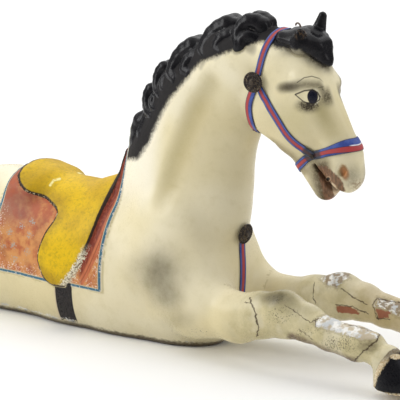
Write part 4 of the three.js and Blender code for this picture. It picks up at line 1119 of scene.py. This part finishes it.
# The roll beside the saddle is painted, not carved: painted shade in the valley next to the saddle, a painted
# highlight on the roll, and a dark line at its foot.
roll = mix((124, 54, 40), (194, 112, 74), saddle.fade(-1.7, -2.4))
roll = mix(roll, (96, 44, 36), abs(saddle + 3.0).fade(0.22, 0.08, 0, 0.6))
roll = mix(roll, (168, 86, 58), grain.fade(0.45, 0.62, 0, 0.6))
red = mix(red, roll, strip * saddle.fade(-4.4, -3.8))
edge = cloth + (fine - 0.5) * 0.3
red = mix(red, (202, 186, 150), edge.fade(1.2, 1.08))
red = mix(red, (66, 112, 134), edge.fade(0.98, 0.86))
red = mix(red, (216, 206, 182), edge.fade(0.26, 0.14))
red = mix(red, (236, 230, 218), (grit + cloth.fade(1.6, 0.2, 0, 0.16)).fade(0.72, 0.76) * cloth.fade(2, 1.4))
in_cloth = cloth.fade(-0.05, 0.05)
body = mix(body, red, in_cloth)

# %% Saddle
yellow = mix((230, 190, 22), (206, 166, 22), noise(at.whole, 0.07, 3.0).fade(0.38, 0.62))
yellow = mix(yellow, (158, 132, 30), grit.fade(0.42, 0.75, 0, 0.62))
yellow = mix(yellow, (120, 98, 38), patch.fade(0.55, 0.8, 0, 0.5) * grit.fade(0.4, 0.6))
yellow = mix(yellow, (150, 122, 36), saddle.fade(4.5, 0.5, 0, 0.5) * patch.fade(0.3, 0.6))
# A painted highlight: a small glint on the cantle.
glint = at.stroke([(-54.3, 13.6), (-53.3, 15), (-51.6, 15.4)]).fade(0.5, 0.15, 0, 0.85) * grit.fade(0.35, 0.5)
yellow = mix(yellow, (255, 248, 176), glint)
line = at.z.fade(28, 44, 0.72, 1.25) * at.x.fade(-62, -50, 0.85, 1.0)
yellow = mix(yellow, (52, 38, 28), (line - saddle - (fine - 0.5) * 0.5).fade(-0.15, 0.1))
rubbed = abs(saddle - 0.2).fade(0.6, 0.3) * (grit + fine).fade(1.1, 1.16) * at.x.fade(-48, -52)
yellow = mix(yellow, (216, 200, 156), rubbed)
scraped = abs(saddle - 0.4) + (grit - 0.5) * 3.6 + (fine - 0.5) * 2.5
scraped = scraped.fade(1.0, 0.8) * at.x.fade(-53.5, -51.5) * at.z.fade(27, 22)
scraped_colour = mix((238, 230, 204), (126, 104, 72), fine.fade(0.46, 0.58))
on_saddle = saddle.fade(-0.05, 0.05)
body = mix(body, yellow, on_saddle)
body = mix(body, scraped_colour, scraped * in_cloth)

strap_middle = at.x + 53.9 - at.z * 0.12
strap = abs(strap_middle).fade(3.0, 2.85) * at.z.fade(14.4, 14.0) * (1 - saddle.fade(-0.3, 0.0))
strap = strap * (at.z + (grit - 0.5) * 5.0).fade(1.6, 2.0)
body = mix(body, mix((40, 37, 38), (78, 70, 64), fine.fade(0.5, 0.8)), strap)
body = mix(body, (202, 180, 156), abs(strap_middle + 3.1).fade(0.3, 0.1) * at.z.fade(12, 11) * 0.6)
print("saddle and cloth done")

# %% [markdown]
# ## Wear
# The legs and the belly's edge have lost most of their paint. White ground shows first, then
# bare reddish primer, with cracks where boards are joined. Noise alone looks like camouflage, so
# each bare place and crack is drawn where it is, and noise only frays its edge.

# %% Bare places
bare_mark, primer_mark = number("bare"), number("primer")
frayed = (grit - 0.5) * 4.0
on_legs = at.x.fade(8, 12) * at.z.fade(34, 30)
bare = (bare_mark + frayed).fade(-0.25, 0.15) * on_legs
chips = (abs(at.z - 1.9) + frayed * 1.3).fade(0.5, 0.1) * (patch + wide).fade(0.95, 1.05)
bare = bare | chips * at.x.fade(20, 10)
bare_rim = abs(bare_mark + frayed + 0.4).fade(0.7, 0.0, 0, 0.36) * on_legs
body = mix(body, (118, 102, 74), bare_rim)
ground = mix((246, 244, 238), (204, 206, 206), patch.fade(0.42, 0.6))
worn = noise(at.whole, 0.5, 3.0) + at.x.fade(44, 55, 0, 0.13)
ground = mix(ground, (186, 168, 134), worn.fade(0.5, 0.66, 0, 0.8))
torn = noise(at.join(at.x, at.side, at.z * 2.0), 0.55, 5.0, 0.6).fade(0.44, 0.54, 0, 0.85) * left_side
ground = mix(ground, (140, 120, 90), torn)
body = mix(body, ground, bare)
# Painted shade along the bottom edge, where the belly meets the floor.
bottom_shade = (at.z + frayed * 0.7).fade(1.9, 0.7, 0, 0.9) * at.x.fade(20, 10)
body = mix(body, (80, 66, 48), bottom_shade)
primer = (primer_mark + frayed * 0.4).fade(-0.15, 0.1) * on_legs
body = mix(body, mix((136, 84, 62), (170, 112, 86), fine), primer)
under_leg = at.stroke([(13, -28.4), (21.3, -32), (26.3, -34), (30.1, -35.2)]).fade(1.9, 0.2, 0, 0.8)
body = mix(body, (98, 76, 58), under_leg * on_legs * right_side * grit.fade(0.25, 0.6, 0.5, 1.2))
shin_end = at.oval(34, -30.8, 4.4, 2.8).fade(1.0, 0.1, 0, 0.6) * right_side
body = mix(body, (96, 84, 58), shin_end * grit.fade(0.25, 0.6, 0.5, 1.2))
SPECKLED = [((10, -22.4), (8, 4.4), 0.15), ((26, -30.4), (8.5, 4), 0.2), ((18, -27), (9, 2.4), 0.14),
            ((-14, -28), (12, 4), 0.1), ((8.5, -18), (4.6, 2.6), 0.16)]
for (across, up), (wide_r, high_r), more in SPECKLED:
    near = at.oval(across, up, wide_r, high_r).fade(1.1, 0.2, 0, more)
    speck = (fine + near).fade(0.7, 0.77, 0, 0.8) * near.fade(0.0, 0.04) * right_side
    body = mix(body, (58, 52, 40), speck)
print(len(SPECKLED), "speckled places")

# %% Cracks
NEAR_CRACKS = [
    ([(1.67, -17.5), (1.95, -19.2), (3.06, -21.4), (3.34, -23.7), (4, -25.3), (3.6, -28.4)], 0.17),
    ([(0, -18.9), (1.9, -19.1)], 0.09), ([(11.1, -19.5), (14.5, -21.8), (18.4, -24.5), (20.6, -23.1)], 0.09),
    ([(15, -26.2), (19, -29.2)], 0.08), ([(19.6, -23.4), (19.8, -25.4)], 0.09),
    ([(27.5, -24.6), (34.6, -26.4), (37.2, -27.2)], 0.1),
    ([(37.3, -27.3), (36.5, -29.2), (32.3, -32.6), (30.6, -34.5), (29.8, -35.3)], 0.17),
    ([(24, -33), (28, -34.8), (30.4, -35.4)], 0.12),
]
FAR_CRACKS = [
    ([(19.5, -13.6), (19.2, -17), (19.8, -19.2)], 0.1), ([(27, -15), (30, -17.4), (34, -19.5)], 0.1),
    ([(36.7, -18.1), (35.7, -19.6)], 0.16), ([(36.9, -17.8), (40.4, -18.6), (43.4, -19)], 0.12),
    ([(25.4, -19.6), (30, -20.1), (34.6, -22.2)], 0.12), ([(35.9, -20.3), (37, -23.4), (40.4, -23.6)], 0.12),
]
shake = horse_paint.node(
    "ShaderNodeTexNoise", {"normalize": True}, {"Vector": at.whole, "Scale": 1.1, "Detail": 4.0}, output=1
)
shake = horse_paint.vector("MULTIPLY", horse_paint.vector("SUBTRACT", shake, (0.5, 0.5, 0.5)), (1.3, 0, 1.3))
shaken = horse_paint.vector("ADD", at.seen, shake)
crack = None
for cracks, side in ((NEAR_CRACKS, right_side), (FAR_CRACKS, left_side)):
    for points, width in cracks:
        one = (at.stroke(points, shaken) + (fine - 0.5) * 0.25).fade(width * 1.7, width * 0.6) * side
        crack = one if crack is None else crack | one
on_leg = at.x.fade(6, 9) * at.z.fade(30, 28)
crack = crack * on_leg * (1 - hooves)
body = mix(body, (78, 62, 44), crack * grit.fade(0.3, 0.55, 0.45, 0.95))
print(len(NEAR_CRACKS + FAR_CRACKS), "cracks")

# %% Varnish and relief
rough = fine.fade(0.2, 0.8, 0.22, 0.38)
rough = rough + in_cloth * 0.14 - hair_mask * 0.04 + dusty * (1 - hair_mask) * 0.3
rough = rough + bare * 0.35 + primer * 0.3
relief = fine * 0.1 + patch * 0.25 - bare * 0.4 - primer * 0.5 - crack * 0.9
figure.data.materials.append(horse_paint.finish(
    body, rough, relief, strength=0.5, depth=0.0016, **{"Specular IOR Level": 0.16}
))
print(len(horse_paint.tree.nodes), "nodes")

# %% [markdown]
# ## Ribbon, metal and wire
# The ribbon is blue with a red stripe down its middle. The weave is a fine rib across it.
# The studs are darkened metal, rubbed lighter on what stands out.

# %% Ribbon cloth
cloth_paint = Paint("ribbon_cloth")
across, along, middle = (cloth_paint.number(key) for key in ("across", "along", "middle"))
spot = cloth_paint.node("ShaderNodeTexCoord", output=3)
dirt = cloth_paint.noise(spot, 60.0, 4.0)
off = abs(across - middle)
blue = cloth_paint.mix((38, 62, 142), (58, 88, 168), dirt.fade(0.35, 0.6))
woven = cloth_paint.mix((176, 52, 54), blue, off.fade(0.4, 0.46))
woven = cloth_paint.mix(woven, (34, 28, 56), abs(off - 0.43).fade(0.09, 0.03, 0, 0.8))
# A thin pale line between the blue and the red where the noseband twists: a painted highlight along the
# twist.
gap = abs(off - 0.5).fade(0.1, 0.06) * abs(middle).fade(0.5, 0.56)
woven = cloth_paint.mix(woven, (228, 224, 228), gap)
woven = cloth_paint.mix(woven, (40, 34, 54), abs(across).fade(0.78, 0.97, 0, 0.75))
woven = cloth_paint.mix(woven, (104, 84, 84), dirt.fade(0.45, 0.8, 0, 0.4))
for side in (1, -1):
    crossing = np.array(CROSSING) * (1, side, 1) * SHARE + np.array([BREAST_X, 0, 0])
    away = cloth_paint.vector("DISTANCE", spot, tuple(crossing), output=1)
    woven = cloth_paint.mix(woven, (34, 38, 42), (away / SHARE + dirt).fade(4.3, 3.2, 0, 0.88))
ribs = (along * 26.0).math("SINE") * 0.5 + (across * 40.0).math("SINE") * 0.2
ribbon_cloth = cloth_paint.finish(
    woven, 0.68, ribs, strength=0.35, depth=0.0004, **{"Sheen Weight": 0.2}
)
for piece in ribbons:
    piece.data.materials.append(ribbon_cloth)
print("ribbon cloth on", len(ribbons), "ribbons")

# %% Dark metal
metal = Paint("dark_metal")
spot = metal.node("ShaderNodeTexCoord", output=3)
rim = metal.number("rim")
turn = metal.number("turn")
tarnish = metal.noise(spot, 260.0, 5.0)
grooves = (turn * 30.0).math("SINE") * rim.fade(0.4, 0.6) * 0.5 + 0.5
dark = metal.mix((40, 33, 30), (132, 116, 92), tarnish.fade(0.42, 0.7) * grooves)
dark = metal.mix(dark, (84, 74, 62), rim.fade(0.3, 0.05, 0, 0.6))
dark_metal = metal.finish(
    dark, tarnish.fade(0.3, 0.7, 0.38, 0.62), tarnish + grooves * 0.6, strength=0.4, depth=0.0006,
    metallic=0.55,
)
for piece in studs:
    piece.data.materials.append(dark_metal)

wire = Paint("bent_wire")
spot = wire.node("ShaderNodeTexCoord", output=3)
rust = wire.noise(spot, 400.0, 5.0)
wire_colour = wire.mix((110, 100, 92), (96, 62, 42), rust.fade(0.4, 0.65))
wire_look = wire.finish(wire_colour, rust.fade(0.3, 0.7, 0.45, 0.8), rust, depth=0.0004, metallic=0.7)
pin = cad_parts["ear_pin"]
pin.data.materials.clear()
pin.data.materials.append(wire_look)
print("metal and wire done")

# %% [markdown]
# ## Light and floor
# The horse stood on a white studio roll under large soft lights. The roll is so bright that it
# runs into plain white, with only a soft shadow under the belly and the hooves.

# %% Floor
def flat(name, size, z):
    half = size / 2
    corners = np.array([[-half, -half, z], [half, -half, z], [half, half, z], [-half, half, z]])
    mesh = bpy.data.meshes.new(name)
    mesh.from_pydata(corners.tolist(), [], [(0, 1, 2, 3)])
    piece = bpy.data.objects.new(name, mesh)
    bpy.context.scene.collection.objects.link(piece)
    return piece


floor = flat("studio_floor", 120, -0.001)
roll_paint = Paint("studio_roll")
spot = roll_paint.node("ShaderNodeTexCoord", output=3)
tint = roll_paint.mix((252, 252, 251), (249, 249, 248), roll_paint.noise(spot, 3.0))
floor.data.materials.append(roll_paint.finish(tint, 0.9))
floor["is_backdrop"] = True


def softbox(name, place, size, power):
    light = bpy.data.lights.new(name, "AREA")
    light.shape, light.size, light.energy = "SQUARE", size, power
    lamp = bpy.data.objects.new(name, light)
    bpy.context.scene.collection.objects.link(lamp)
    lamp.location = place
    aim = np.array([0.2, 0, 0.25]) - np.array(place)
    lamp.rotation_euler = (
        math.acos(-aim[2] / np.linalg.norm(aim)), 0, math.atan2(aim[1], aim[0]) - math.pi / 2
    )


softbox("sky", (-0.9, 1.1, 3.4), 8, 214)
softbox("key", (-2.4, -2.2, 1.9), 1.8, 62)
softbox("rim", (3.0, 0.6, 1.8), 1.4, 20)
world = bpy.data.worlds.new("studio")
world.use_nodes = True
world.node_tree.nodes["Background"].inputs[0].default_value = (1, 1, 1, 1)
world.node_tree.nodes["Background"].inputs[1].default_value = 0.34
bpy.context.scene.world = world
bpy.context.scene.view_settings.view_transform = "Standard"
print("three soft lights")

# %% Size and finish
box = [[list(map(float, corner)) for corner in b] for b in (CAD_BOX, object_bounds())]
print("solids", box[0], "dressed", box[1])
